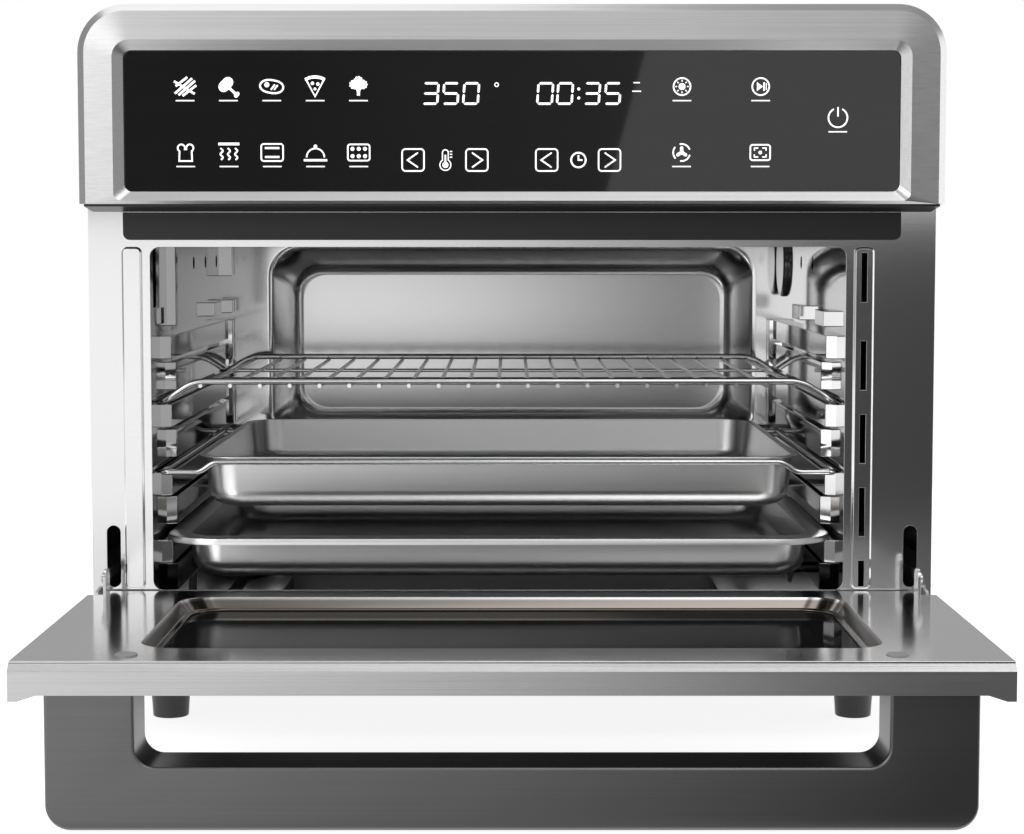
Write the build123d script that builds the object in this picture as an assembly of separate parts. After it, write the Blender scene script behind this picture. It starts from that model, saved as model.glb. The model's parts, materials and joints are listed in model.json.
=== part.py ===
from build123d import *
import os

# Countertop convection toaster oven, door open. Sizes are millimetres: X right, Y to the back, Z up.
# Pieces are drawn from the sill: y = 0 is the front frame's face, z = 0 the open door's inner face.
# The finished pieces are moved so that the origin is the bottom centre of the oven as it stands.

# Cabinet
body_width = 430.0
corner_radius = 24.0
housing_sheet = 0.8
sill_rise = 54.4
foot_height = 22.2
rear_gap = 18.0
seam = 0.2
running_gap = 0.3
base_rim = 9.0
side_slot_length = 34.0
side_slot_width = 4.0
side_slot_pitch = 11.0
side_slot_count = 12
rear_slot_length = 26.0
rear_slot_width = 4.0
rear_slot_pitch = 12.0
rear_slot_rows = 4
rear_slot_columns = 7

# Cooking cavity, which stands left of the middle to leave room for the wiring
left_room = 31.1
right_room = 45.3
opening_height = 175.6
opening_corner = 5.0
liner_sheet = 0.8
cavity_depth = 290.0
ceiling_rise = 20.0
floor_drop = 44.0
bulge_side_gap = 19.2
bulge_height = 117.5
bulge_top_margin = 3.4
bulge_depth = 32.0
bulge_flare = 12.5
bulge_corner = 16.0

# Rack guides pressed from the side walls: three grooves between four pairs of ribs
level_pitch = 35.8
lowest_level = 21.8
groove_height = 6.2
rib_reach = 5.5
rib_gap = 2.4
rib_bevel = 1.6
upper_rib_share = 0.45
upper_rib_start = 30.0
lower_rib_start = 48.0
rib_end_gap = 15.0
stop_height = 8.5
stop_reach = 8.0
stop_base = 135.3
stop_spans = ((14.0, 46.0), (101.0, 147.0))
pillar_width = 11.0
front_pillar_base = 137.0
rear_pillar_base = 156.5
liner_vent_radius = 3.8
liner_vent_height = 166.0
liner_vent_pitch = 51.0
liner_vent_count = 3
liner_vent_inset = 107.0

# Front frame
frame_sheet = 0.8
lip_width = 3.5
strip_height = 14.0
strip_side_gap = 17.75
strip_thickness = 1.0
bead_width = 10.3
bead_height = 1.2
bead_corner = 3.0
bead_margin = 4.0
bead_foot = 0.5
vent_slot_width = 3.0
vent_slot_length = 25.0
vent_slot_pitch = 37.5
vent_slot_top = 47.7
vent_slot_foot = 1.5
hinge_slot_width = 7.0
hinge_slot_height = 31.8
hinge_slot_base = 1.5
hinge_slot_edge = 7.5

# Control panel
bezel_height = 98.4
bezel_reach = 28.2
bezel_wall = 2.5
rim_width = 3.6
rim_drop = 3.4
band_width = 14.2
band_drop = 2.0
bevel_width = 5.0
bevel_drop = 3.2
lower_rim = 1.6
lower_bevel = 2.5
glass_thickness = 3.0
glass_corner = 4.0
glass_ledge = 3.0
skirt_height = 3.6
skirt_rise = 2.4
board_thickness = 1.6
board_margin = 14.0
board_setback = 6.0
housing_depth = 11.4
display_width = 118.0
display_height = 30.0
display_offset = 8.0

# Door, drawn open
door_gap = 2.0
hinge_drop = 5.0
hinge_edge_gap = 3.6
door_top_gap = 1.2
door_thickness = 17.0
door_center_thickness = 14.4
door_side_band = 4.0
door_side_slope = 8.0
door_rail = 12.0
door_wall = 3.0
door_bevel = 3.0
door_panel_sheet = 1.0
window_side_gap = 49.5
window_near_edge = 23.4
window_length = 146.0
window_corner = 7.0
window_recess = 5.2
window_slope = 4.0
window_ledge = 3.0
door_glass = 2.5
outer_glass_side_gap = 4.7
outer_glass_margin = 4.0
bumper_radius = 5.0
bumper_height = 0.7
bumper_side_gap = 48.0
bumper_inset = 17.8

# Handle
handle_side_gap = 13.4
handle_leg = 38.9
handle_bar = 27.8
handle_depth = 30.0
handle_edge_inset = 9.0
counter_clearance = 1.4
handle_outer_corner = 11.0
handle_inner_corner = 9.0
handle_edge = 1.5
handle_screw_radius = 2.0
handle_screw_head = 4.0
handle_screw_spacing = 16.0
handle_screw_length = 14.0

# Door hinges with their pull-shut springs
pivot_radius = 2.0
pivot_clearance = 0.05
hinge_notch_width = 9.0
hinge_notch_length = 16.0
bracket_sheet = 1.5
bracket_edge_gap = 3.0
bracket_length = 176.0
ear_reach = 6.0
tab_sheet = 1.5
tab_distance = 27.5
tab_width = 11.0
tab_height = 15.0
link_sheet = 1.2
link_width = 5.0
link_length = 88.0
link_pin_radius = 1.5
spring_radius = 3.5
spring_wall = 1.0
spring_ring = 2.8

# Bakeware
rack_wire = 3.4
bar_wire = 2.2
bar_count = 21
rack_rise = 11.0
rack_front = 14.0
rack_back_gap = 19.2
rack_bend = 6.0
rack_side_gap = 1.5
rack_step = 16.6
pan_sheet = 0.9
pan_side_gap = 23.3
pan_depth = 26.7
pan_corner = 18.0
pan_flare = 1.4
pan_rim = 3.5
pan_bottom_radius = 9.0
carrier_wire = 3.0
carrier_step = 19.2
carrier_ramp = 7.2
carrier_rise = 5.2
tray_depth = 22.3
tray_flare = 1.4
tray_rim = 12.0
tray_lip = 3.4
tray_corner = 18.0
tray_side_gap = 2.5
crumb_side_gap = 9.6
crumb_depth = 10.0
crumb_front_height = 14.4
crumb_front_overlap = 4.0
crumb_front_sheet = 2.0

# Heating, fan and lamp
element_radius = 3.3
element_inset = 26.0
element_spread = 160.0
element_tail = 16.0
upper_element_drop = 11.5
lower_element_drop = 20.0
bushing_radius = 7.0
bushing_length = 9.0
fan_radius = 78.0
fan_well_radius = 96.0
fan_well_height = 27.0
fan_blade_count = 8
fan_blade_height = 15.0
fan_hub_radius = 12.0
fan_sheet = 1.0
fan_lift = 6.0
shaft_radius = 3.0
shaft_hole_gap = 1.0
guard_rings = 5
guard_wire = 2.0
motor_radius = 36.0
motor_height = 34.0
motor_foot_height = 8.0
motor_foot_width = 14.0
cooling_radius = 42.0
lamp_radius = 21.0
lamp_corner_gap = 3.0
lamp_drop = 30.6
lamp_glass = 3.0
socket_length = 26.0
bulb_radius = 8.0
probe_radius = 2.5
probe_length = 34.0
power_board_width = 82.0
power_board_length = 150.0
standoff_height = 8.0

# Feet and rear fittings
foot_top_radius = 11.0
foot_bottom_radius = 9.5
foot_side_inset = 31.0
front_foot_back = 56.0
rear_foot_inset = 60.0
foot_stem_radius = 3.0
foot_stem_height = 3.0
gland_bore = 4.0
gland_neck = 8.0
gland_flange = 12.0
gland_inset = 34.0
gland_height = -22.0
gland_length = 7.0
screw_head_radius = 3.6
screw_head_height = 2.0
screw_radius = 1.7
screw_inset = 9.0

# Places worked out from the sizes above
half_width = body_width / 2
cavity_left = -half_width + left_room
cavity_right = half_width - right_room
opening_width = cavity_right - cavity_left
opening_offset = (cavity_left + cavity_right) / 2
ceiling_z = opening_height + ceiling_rise
floor_z = -floor_drop
strip_bottom = opening_height + lip_width
skirt_bottom = strip_bottom + strip_height + seam
bezel_bottom = skirt_bottom + skirt_height
body_top = bezel_bottom + bezel_height
body_bottom = -sill_rise
counter_z = body_bottom - foot_height
bulge_back = cavity_depth + bulge_depth
body_back = bulge_back + rear_gap
axis_y = -door_gap - hinge_drop
axis_z = -hinge_drop
door_far = axis_y - (skirt_bottom - door_top_gap - axis_z)
door_near = -hinge_edge_gap
front_y = (-door_far - body_back - gland_length) / 2
glass_y = -(bezel_reach - bevel_drop)
bezel_plate_back = glass_y + glass_thickness + bezel_wall
hinge_slot_x = half_width - hinge_slot_edge - hinge_slot_width / 2
fan_y = cavity_depth / 2
well_top = ceiling_z + liner_sheet + fan_well_height
handle_top = -door_center_thickness
handle_bottom = counter_z + counter_clearance
handle_front = door_far + handle_edge_inset
handle_width = body_width - 2 * handle_side_gap
lamp_back = cavity_depth - lamp_radius - lamp_corner_gap
lamp_height = ceiling_z - lamp_drop
rack_length = cavity_depth - rack_back_gap - rack_front
pan_width = opening_width - 2 * pan_side_gap
crumb_bottom = floor_z + running_gap
crumb_reach = handle_width / 2 - handle_leg - handle_inner_corner - crumb_front_overlap - crumb_side_gap
crumb_width = 2 * (crumb_reach - abs(opening_offset))


def block(x0, x1, y0, y1, z0, z1):
    return Pos((x0 + x1) / 2, (y0 + y1) / 2, (z0 + z1) / 2) * Box(x1 - x0, y1 - y0, z1 - z0)


def panel(a0, a1, b0, b1, radius=0.0):
    # A rectangle between two corners of a drawing plane, with rounded corners if asked.
    centre = Pos((a0 + a1) / 2, (b0 + b1) / 2)
    if radius > 0:
        return centre * RectangleRounded(a1 - a0, b1 - b0, radius)
    return centre * Rectangle(a1 - a0, b1 - b0)


def along_x(sketch, x0, x1):
    # An outline drawn in Y and Z, carried from x0 to x1.
    return extrude(Plane.YZ.offset(x0) * sketch, amount=x1 - x0)


def along_y(sketch, y0, y1):
    # An outline drawn in X and Z, carried from y0 to y1.
    return extrude(Plane.XZ.offset(-y1) * sketch, amount=y1 - y0)


def along_z(sketch, z0, z1):
    # An outline drawn in X and Y, carried from z0 to z1.
    return extrude(Plane.XY.offset(z0) * sketch, amount=z1 - z0)


def taper_y(face_a, y_a, face_b, y_b):
    return loft([Plane.XZ.offset(-y_a) * face_a, Plane.XZ.offset(-y_b) * face_b], ruled=True)


def taper_z(face_a, z_a, face_b, z_b):
    return loft([Plane.XY.offset(z_a) * face_a, Plane.XY.offset(z_b) * face_b], ruled=True)


def rod_x(x0, x1, y, z, radius):
    return along_x(Pos(y, z) * Circle(radius), x0, x1)


def rod_y(y0, y1, x, z, radius):
    return along_y(Pos(x, z) * Circle(radius), y0, y1)


def rod_z(z0, z1, x, y, radius):
    return along_z(Pos(x, y) * Circle(radius), z0, z1)


def wire(points, radius, bend):
    path = FilletPolyline(*points, radius=bend)
    return sweep(Plane(origin=path @ 0, z_dir=path % 0) * Circle(radius), path=path)


def mirrored_loop(points, radius, bend):
    # A closed wire from its right half, which starts and ends in the middle plane.
    half = wire(points, radius, bend)
    return half + mirror(half, Plane.YZ)


def cabinet_face(inset, bottom):
    # Cross-section of the cabinet, with its rounded top corners.
    face = panel(-half_width + inset, half_width - inset, bottom, body_top - inset)
    return fillet(face.vertices().group_by(Axis.Y)[-1], corner_radius - inset)


def spread(count, pitch, middle=0.0):
    return [middle + (index - (count - 1) / 2) * pitch for index in range(count)]


# Cabinet shells

def outer_wrap():
    skin = cabinet_face(0, body_bottom) - cabinet_face(housing_sheet, body_bottom)
    wrap = along_y(skin, frame_sheet, body_back)
    slot = SlotOverall(side_slot_length, side_slot_width, rotation=90)
    slot_y = body_back - side_slot_count * side_slot_pitch / 2 - side_slot_length
    slot_z = body_top - corner_radius - side_slot_length
    slots = [Pos(y, slot_z) * slot for y in spread(side_slot_count, side_slot_pitch, slot_y)]
    return wrap - [along_x(one, -body_width, body_width) for one in slots]


def foot_places():
    rear = body_back - rear_foot_inset
    edge = half_width - foot_side_inset
    return [(side * edge, y) for y in (front_foot_back, rear) for side in (-1, 1)]


def base_pan():
    edge = half_width - housing_sheet - seam
    front = frame_sheet + seam
    back = body_back - housing_sheet - seam
    pan = block(-edge, edge, front, back, body_bottom, body_bottom + base_rim)
    wall = housing_sheet
    pan -= block(-edge + wall, edge - wall, front + wall, back - wall,
                 body_bottom + wall, body_bottom + base_rim)
    stem_hole = foot_stem_radius + seam / 2
    pan -= [rod_z(body_bottom, body_bottom + base_rim, x, y, stem_hole) for x, y in foot_places()]
    slots = [Pos(x, body_back / 2) * SlotOverall(side_slot_length, side_slot_width, rotation=90)
             for x in spread(side_slot_count, side_slot_pitch, opening_offset)]
    return pan - [along_z(one, body_bottom, body_bottom + base_rim) for one in slots]


def gland_place():
    return half_width - gland_inset, gland_height


def rear_screw_places():
    side = half_width - screw_inset
    low = body_bottom + base_rim + screw_inset
    high = body_top - corner_radius
    middle = (low + high) / 2
    return [(sign * side, z) for sign in (-1, 1) for z in (low, middle, high)]


def rear_panel():
    front = body_back - housing_sheet
    plate = along_y(cabinet_face(housing_sheet + seam, body_bottom + seam), front, body_back)
    gland_x, gland_z = gland_place()
    cuts = [rod_y(front, body_back, gland_x, gland_z, gland_neck + seam / 2)]
    cuts += [rod_y(front, body_back, x, z, screw_radius + seam / 2) for x, z in rear_screw_places()]
    slot = SlotOverall(rear_slot_length, rear_slot_width)
    top = body_top - corner_radius - rear_slot_pitch * rear_slot_rows / 2
    for z in spread(rear_slot_rows, rear_slot_pitch, top):
        for x in spread(rear_slot_columns, rear_slot_length + rear_slot_pitch):
            cuts.append(along_y(Pos(x, z) * slot, front, body_back))
    return plate - cuts


def rear_screws():
    front = body_back - housing_sheet
    screws = []
    for x, z in rear_screw_places():
        head = rod_y(body_back, body_back + screw_head_height, x, z, screw_head_radius)
        dome = head.edges().group_by(Axis.Y)[-1]
        head = fillet(dome, screw_head_height * 0.6)
        screws.append(head + rod_y(front - screw_head_radius, body_back, x, z, screw_radius))
    return Compound(children=screws)


def cord_gland():
    x, z = gland_place()
    front = body_back - housing_sheet
    collar = rod_y(body_back, body_back + gland_length, x, z, gland_flange)
    slope = gland_flange - gland_neck - seam
    collar = chamfer(collar.edges().group_by(Axis.Y)[-1], slope, gland_length * 0.6)
    neck = rod_y(front - gland_length, body_back, x, z, gland_neck)
    nut = along_y(Pos(x, z) * RegularPolygon(gland_flange, 6), front - gland_length, front)
    bore = rod_y(front - gland_length, body_back + gland_length, x, z, gland_bore)
    return collar + neck + nut - bore


def feet():
    pieces = []
    for x, y in foot_places():
        top = Plane.XY.offset(body_bottom) * Pos(x, y) * Circle(foot_top_radius)
        bottom = Plane.XY.offset(counter_z) * Pos(x, y) * Circle(foot_bottom_radius)
        pad = loft([bottom, top], ruled=True)
        stem_top = body_bottom + housing_sheet + foot_stem_height
        stem = rod_z(body_bottom, stem_top, x, y, foot_stem_radius)
        pieces.append(pad + stem)
    return Compound(children=pieces)


# Front frame and its trim

def bead_spans():
    left = cavity_left - bead_margin - bead_width
    right = cavity_right + bead_margin
    return (left, left + bead_width), (right, right + bead_width)


def front_frame():
    frame_top = bezel_bottom + bezel_wall
    plate = along_y(panel(-half_width, half_width, body_bottom, frame_top), 0, frame_sheet)
    for x0, x1 in bead_spans():
        bead = along_y(panel(x0, x1, bead_foot, opening_height, bead_corner), -bead_height, 0)
        plate += chamfer(bead.faces().sort_by(Axis.Y)[0].edges(), bead_height * 0.8)
    back = 2 * bead_height
    window = panel(cavity_left, cavity_right, 0, opening_height, opening_corner)
    cuts = [along_y(window, -back, back)]
    crumb_x = crumb_width / 2 + running_gap
    crumb_top = crumb_bottom + crumb_depth + running_gap
    cuts.append(block(opening_offset - crumb_x, opening_offset + crumb_x, -back, back, floor_z, crumb_top))
    slot = SlotOverall(hinge_slot_height, hinge_slot_width, rotation=90)
    slot_z = hinge_slot_base + hinge_slot_height / 2
    ear_x = bracket_plane()
    for side in (-1, 1):
        cuts.append(along_y(Pos(side * hinge_slot_x, slot_z) * slot, -back, back))
        low, high = sorted((side * (ear_x - seam), side * (ear_x + bracket_sheet + seam)))
        cuts.append(block(low, high, -back, back, axis_z - ear_reach - seam, axis_z + ear_reach + seam))
    left, right = bead_spans()[1]
    vent_x = (left + right) / 2
    first = opening_height - vent_slot_top
    count = 1 + int((first - bead_foot - 2 * vent_slot_foot) / vent_slot_pitch)
    for top in [opening_height - bead_corner] + [first - index * vent_slot_pitch for index in range(count)]:
        bottom = max(top - vent_slot_length, bead_foot + vent_slot_foot)
        half = vent_slot_width / 2
        cuts.append(block(vent_x - half, vent_x + half, -back, back, bottom, top))
    return plate - cuts


def upper_trim_strip():
    edge = half_width - strip_side_gap
    face = panel(-edge, edge, strip_bottom, strip_bottom + strip_height)
    face = fillet(face.vertices().group_by(Axis.Y)[0], strip_height / 4)
    return along_y(face, -strip_thickness, 0)


# Control panel

def band_face(inset):
    face = panel(-half_width + inset, half_width - inset, bezel_bottom, body_top - inset)
    return fillet(face.vertices().group_by(Axis.Y)[-1], max(corner_radius - inset, glass_corner))


def ridge_face():
    inset = rim_width + band_width
    corner = glass_corner + lower_bevel
    return panel(-half_width + inset, half_width - inset, bezel_bottom + lower_rim, body_top - inset, corner)


def glass_face(shrink):
    inset = rim_width + band_width + bevel_width + shrink
    bottom = bezel_bottom + lower_rim + lower_bevel + shrink
    return panel(-half_width + inset, half_width - inset, bottom, body_top - inset, glass_corner)


def control_bezel():
    # A steep rim, a wide band that rises to a ridge, and a bevel down to the glass.
    band_y = -bezel_reach + band_drop
    rim_y = band_y + rim_drop
    shell = along_y(cabinet_face(0, bezel_bottom), rim_y, 0)
    shell += taper_y(band_face(rim_width), band_y, band_face(0), rim_y)
    shell += taper_y(band_face(rim_width + band_width), -bezel_reach, band_face(rim_width), band_y)
    bevel = taper_y(ridge_face(), -bezel_reach, glass_face(0), glass_y)
    pocket = along_y(glass_face(0), glass_y, glass_y + glass_thickness)
    window = along_y(glass_face(glass_ledge), glass_y, 0)
    inside = along_y(cabinet_face(bezel_wall, bezel_bottom + bezel_wall), bezel_plate_back, 0)
    return shell - [bevel, pocket, window, inside]


def control_glass():
    return along_y(glass_face(seam), glass_y, glass_y + glass_thickness)


def panel_skirt():
    tip = -bezel_reach + rim_width
    profile = Polygon((0, skirt_bottom), (0, bezel_bottom), (tip, bezel_bottom),
                      (tip, skirt_bottom + skirt_rise), align=None)
    return along_x(profile, -half_width + bezel_wall, half_width - bezel_wall)


def panel_housing():
    inset = bezel_wall + seam
    depth = housing_depth
    tub = along_y(cabinet_face(inset, bezel_bottom + inset), bezel_plate_back, depth)
    inner = inset + bezel_wall
    tub -= along_y(cabinet_face(inner, bezel_bottom + inner), bezel_plate_back, depth - bezel_wall)
    board = glass_face(board_margin / 2).bounding_box()
    for x in (board.min.X + board_margin, board.max.X - board_margin):
        tub += rod_y(board_back(), depth - bezel_wall, x, panel_middle(), board_margin / 3)
    return tub


def board_back():
    return glass_y + glass_thickness + board_setback + board_thickness


def panel_middle():
    face = glass_face(0).bounding_box()
    return (face.min.Y + face.max.Y) / 2


def control_board():
    back = board_back()
    middle = panel_middle()
    board = along_y(glass_face(board_margin / 2), back - board_thickness, back)
    chip = board_thickness * 2
    for x in spread(5, board_margin * 3):
        board += block(x - board_margin / 2, x + board_margin / 2, back, back + chip,
                       middle + chip, middle + board_margin)
    return board


def display_module():
    back = board_back() - board_thickness
    front = glass_y + glass_thickness + seam
    z = panel_middle() + display_height / 2
    body = block(display_offset - display_width / 2, display_offset + display_width / 2, front, back,
                 z - display_height / 2, z + display_height / 2)
    return chamfer(body.edges().filter_by(Axis.Y), board_thickness)


# Cooking cavity

def level_floor(index):
    return lowest_level + index * level_pitch


def rib_spans():
    # Starts and heights of the rib pairs: one pair under each groove and one above the topmost groove.
    pair = level_pitch - groove_height
    upper = (pair - rib_gap) * upper_rib_share
    spans = []
    for index in range(4):
        top = level_floor(index)
        spans.append((upper_rib_start, top - upper, top))
        spans.append((lower_rib_start, top - pair, top - upper - rib_gap))
    return spans


def wall_block(side, wall_x, reach, y0, y1, z0, z1):
    # A block pressed out of a side wall, with all the edges of its inner face bevelled.
    x0, x1 = sorted((wall_x, wall_x - side * reach))
    rib = block(x0, x1, y0, y1, z0, z1)
    inner = rib.faces().sort_by(Axis.X)[0 if side > 0 else -1]
    return chamfer(inner.edges(), rib_bevel)


def side_wall(side, wall_x, vent_back):
    x0, x1 = sorted((wall_x, wall_x + side * liner_sheet))
    wall = block(x0, x1, frame_sheet, cavity_depth, floor_z, ceiling_z)
    for start, z0, z1 in rib_spans():
        wall += wall_block(side, wall_x, rib_reach, start, cavity_depth - rib_end_gap, z0, z1)
    for y0, y1 in stop_spans:
        wall += wall_block(side, wall_x, stop_reach, y0, y1, stop_base, stop_base + stop_height)
    for y in spread(liner_vent_count, liner_vent_pitch, vent_back):
        wall -= rod_x(x0, x1, y, liner_vent_height, liner_vent_radius)
    return wall


def cavity_left_wall():
    wall = side_wall(-1, cavity_left, cavity_depth - liner_vent_inset + liner_vent_pitch * 0.6)
    front = stop_spans[0][0] - pillar_width / 2
    back = cavity_depth - rib_bevel - pillar_width
    stop_top = stop_base + stop_height
    for y0, base, top in ((front, front_pillar_base, ceiling_z), (back, rear_pillar_base, ceiling_z),
                          (back, stop_base, stop_top)):
        wall += wall_block(-1, cavity_left, stop_reach, y0, y0 + pillar_width, base, top)
    return wall


def element_runs():
    # Back-to-front places of the two straight runs of each heating tube.
    return cavity_depth / 2 - element_spread / 2, cavity_depth / 2 + element_spread / 2


def element_heights():
    return ceiling_z - upper_element_drop, -lower_element_drop


def cavity_right_wall():
    wall = side_wall(1, cavity_right, cavity_depth - liner_vent_inset)
    back = cavity_right + liner_sheet
    hole = bushing_radius + seam / 2
    for z in element_heights():
        for y in element_runs():
            wall -= rod_x(cavity_right, back, y, z, hole)
    wall -= rod_x(cavity_right, back, lamp_back, lamp_height, lamp_radius - lamp_glass)
    return wall


def bulge_face(grow, flare):
    width = cavity_right - bulge_side_gap + grow - flare
    top = opening_height - bulge_top_margin
    bottom = top - bulge_height
    return panel(-width, width, bottom - grow + flare, top + grow - flare, bulge_corner)


def cavity_back_wall():
    back = cavity_depth + liner_sheet
    x0 = cavity_left - liner_sheet
    x1 = cavity_right + liner_sheet
    wall = block(x0, x1, cavity_depth, back, floor_z, ceiling_z)
    tub = taper_y(bulge_face(liner_sheet, 0), cavity_depth, bulge_face(liner_sheet, bulge_flare),
                  bulge_back + liner_sheet)
    hollow = taper_y(bulge_face(0, 0), cavity_depth, bulge_face(0, bulge_flare), bulge_back)
    return wall + tub - hollow


def cavity_ceiling():
    top = ceiling_z + liner_sheet
    plate = block(cavity_left - liner_sheet, cavity_right + liner_sheet, frame_sheet,
                  cavity_depth + liner_sheet, ceiling_z, top)
    well = rod_z(ceiling_z, well_top + liner_sheet, opening_offset, fan_y, fan_well_radius + liner_sheet)
    hollow = rod_z(ceiling_z, well_top, opening_offset, fan_y, fan_well_radius)
    hole = rod_z(well_top, well_top + liner_sheet, opening_offset, fan_y, shaft_radius + shaft_hole_gap)
    return plate + well - [hollow, hole]


def cavity_floor():
    return block(cavity_left - liner_sheet, cavity_right + liner_sheet, frame_sheet,
                 cavity_depth + liner_sheet, floor_z - liner_sheet, floor_z)


# Heating, fan and lamp

def heating_tube(z):
    near, far = element_runs()
    tail = cavity_right + element_tail
    bend = cavity_left + element_inset
    points = ((tail, near, z), (bend, near, z), (bend, far, z), (tail, far, z))
    return wire(points, element_radius, element_spread * 0.3)


def upper_element():
    return heating_tube(element_heights()[0])


def lower_element():
    return heating_tube(element_heights()[1])


def element_bushings():
    pieces = []
    for z in element_heights():
        for y in element_runs():
            neck = rod_x(cavity_right, cavity_right + bushing_length, y, z, bushing_radius)
            flange = rod_x(cavity_right - liner_sheet, cavity_right, y, z, bushing_radius * 1.3)
            bore = rod_x(cavity_right - liner_sheet, cavity_right + bushing_length, y, z,
                         element_radius + seam / 2)
            pieces.append(neck + flange - bore)
    return Compound(children=pieces)


def element_clip(z):
    # A folded strap from the left wall that the tube's bend rests on.
    reach = cavity_left + element_inset
    low = z - element_radius - running_gap - liner_sheet
    width = pillar_width
    shelf = block(cavity_left, reach + element_radius, fan_y - width, fan_y + width, low, low + liner_sheet)
    back = block(cavity_left, cavity_left + liner_sheet, fan_y - width, fan_y + width, low, low + width)
    return shelf + back


def element_clips():
    return Compound(children=[element_clip(z) for z in element_heights()])


def fan_guard():
    # Concentric wire rings on four spokes under the fan well.
    thick = guard_wire
    z0 = ceiling_z - thick
    outer = fan_well_radius + guard_wire * 2
    pitch = outer / guard_rings
    face = Circle(outer) - Circle(outer - guard_wire * 2)
    for index in range(1, guard_rings):
        face += Circle(index * pitch) - Circle(index * pitch - guard_wire)
    for angle in (0, 45, 90, 135):
        face += Rot(0, 0, angle) * Rectangle(outer * 2 - guard_wire, guard_wire)
    return along_z(Pos(opening_offset, fan_y) * face, z0, ceiling_z)


def fan_base():
    return ceiling_z + fan_lift


def convection_fan():
    base = fan_base()
    disc = rod_z(base + fan_blade_height, base + fan_blade_height + fan_sheet, 0, 0, fan_radius)
    hub = rod_z(base, base + fan_blade_height, 0, 0, fan_hub_radius)
    inner = fan_radius * 0.45
    blade = block(inner, fan_radius, -fan_sheet / 2, fan_sheet / 2, base, base + fan_blade_height)
    blade = Pos(fan_radius * 0.7, 0, 0) * Rot(0, 0, 28) * Pos(-fan_radius * 0.7, 0, 0) * blade
    blade = blade & rod_z(base, base + fan_blade_height, 0, 0, fan_radius)
    wheel = disc + hub
    for index in range(fan_blade_count):
        wheel += Rot(0, 0, index * 360 / fan_blade_count) * blade
    wheel -= rod_z(base, base + fan_blade_height + fan_sheet, 0, 0, shaft_radius)
    return Pos(opening_offset, fan_y, 0) * wheel


def motor_base():
    return well_top + liner_sheet + motor_foot_height


def shaft_top():
    return motor_base() + motor_height + fan_hub_radius


def fan_shaft():
    return rod_z(fan_base(), shaft_top(), opening_offset, fan_y, shaft_radius)


def cooling_blade():
    top = shaft_top()
    thick = fan_sheet
    base = top - fan_hub_radius * 0.6
    hub = rod_z(base, top, 0, 0, fan_hub_radius * 0.7)
    half = fan_hub_radius
    paddle = block(half / 2, cooling_radius, -half, half, -thick / 2, thick / 2)
    paddle = Pos(0, 0, (base + top) / 2) * Rot(14, 0, 0) * paddle
    for index in range(4):
        hub += Rot(0, 0, index * 90) * paddle
    hub -= rod_z(base - fan_hub_radius, top + fan_hub_radius, 0, 0, shaft_radius)
    return Pos(opening_offset, fan_y, 0) * hub


def fan_motor():
    base = motor_base()
    core = rod_z(base, base + motor_height, 0, 0, motor_radius)
    core = chamfer(core.edges(), motor_radius / 9)
    bearing = rod_z(base, base + motor_height, 0, 0, shaft_radius + pivot_clearance)
    return Pos(opening_offset, fan_y, 0) * (core - bearing)


def motor_bracket():
    # A bridge with four feet on the top of the fan well.
    base = motor_base()
    low = well_top + liner_sheet
    arm = motor_radius + motor_foot_width
    sheet = housing_sheet * 2
    bridge = rod_z(base - sheet, base, 0, 0, motor_radius * 0.6)
    for index in range(4):
        bar = block(0, arm, -motor_foot_width / 2, motor_foot_width / 2, base - sheet, base)
        leg = block(arm - sheet, arm, -motor_foot_width / 2, motor_foot_width / 2, low, base)
        toe = block(arm - sheet, arm + motor_foot_width / 2, -motor_foot_width / 2, motor_foot_width / 2,
                    low, low + sheet)
        bridge += Rot(0, 0, 45 + index * 90) * (bar + leg + toe)
    bridge -= rod_z(base - sheet, base, 0, 0, shaft_radius + shaft_hole_gap)
    return Pos(opening_offset, fan_y, 0) * bridge


def lamp_lens():
    back = cavity_right
    lens = rod_x(back - lamp_glass, back, lamp_back, lamp_height, lamp_radius)
    return fillet(lens.edges().group_by(Axis.X)[0], lamp_glass * 0.7)


def lamp_socket():
    start = cavity_right + liner_sheet
    cup = rod_x(start, start + socket_length, lamp_back, lamp_height, lamp_radius)
    end = start + socket_length - bulb_radius / 2
    hollow = rod_x(start, end, lamp_back, lamp_height, lamp_radius - lamp_glass)
    return cup - hollow


def lamp_bulb():
    end = cavity_right + liner_sheet + socket_length - bulb_radius / 2
    base = rod_x(end - bulb_radius, end, lamp_back, lamp_height, bulb_radius * 0.7)
    globe = rod_x(end - bulb_radius * 2.6, end - bulb_radius, lamp_back, lamp_height, bulb_radius)
    return base + fillet(globe.edges().group_by(Axis.X)[0], bulb_radius * 0.9)


def thermostat_probe():
    # A sensor rod on the left wall near the ceiling, held by its collar.
    y = cavity_depth - pillar_width * 4
    z = ceiling_z - upper_element_drop
    start = cavity_left
    rod = rod_x(start, start + probe_length, y, z, probe_radius)
    return rod + rod_x(start, start + probe_radius * 2, y, z, probe_radius * 2)


def power_board():
    x1 = half_width - housing_sheet - board_margin / 2
    x0 = x1 - power_board_width
    y1 = body_back - rear_gap - bulge_depth
    y0 = y1 - power_board_length
    low = ceiling_z + liner_sheet
    base = low + standoff_height
    card = block(x0, x1, y0, y1, base, base + board_thickness)
    top = base + board_thickness
    for x in (x0 + board_margin / 2, cavity_right - board_margin):
        for y in (y0 + board_margin / 2, y1 - board_margin / 2):
            card += rod_z(low, base, x, y, board_margin / 4)
    for y in spread(3, board_margin * 2.4, y0 + power_board_length * 0.4):
        card += block(x0 + board_margin, x0 + board_margin * 2.4, y - board_margin, y + board_margin,
                      top, top + board_margin * 1.2)
    inset = board_margin * 2
    card += rod_z(top, top + inset, x1 - inset, y1 - inset, board_margin * 0.8)
    return card


# Door, drawn open

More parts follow.
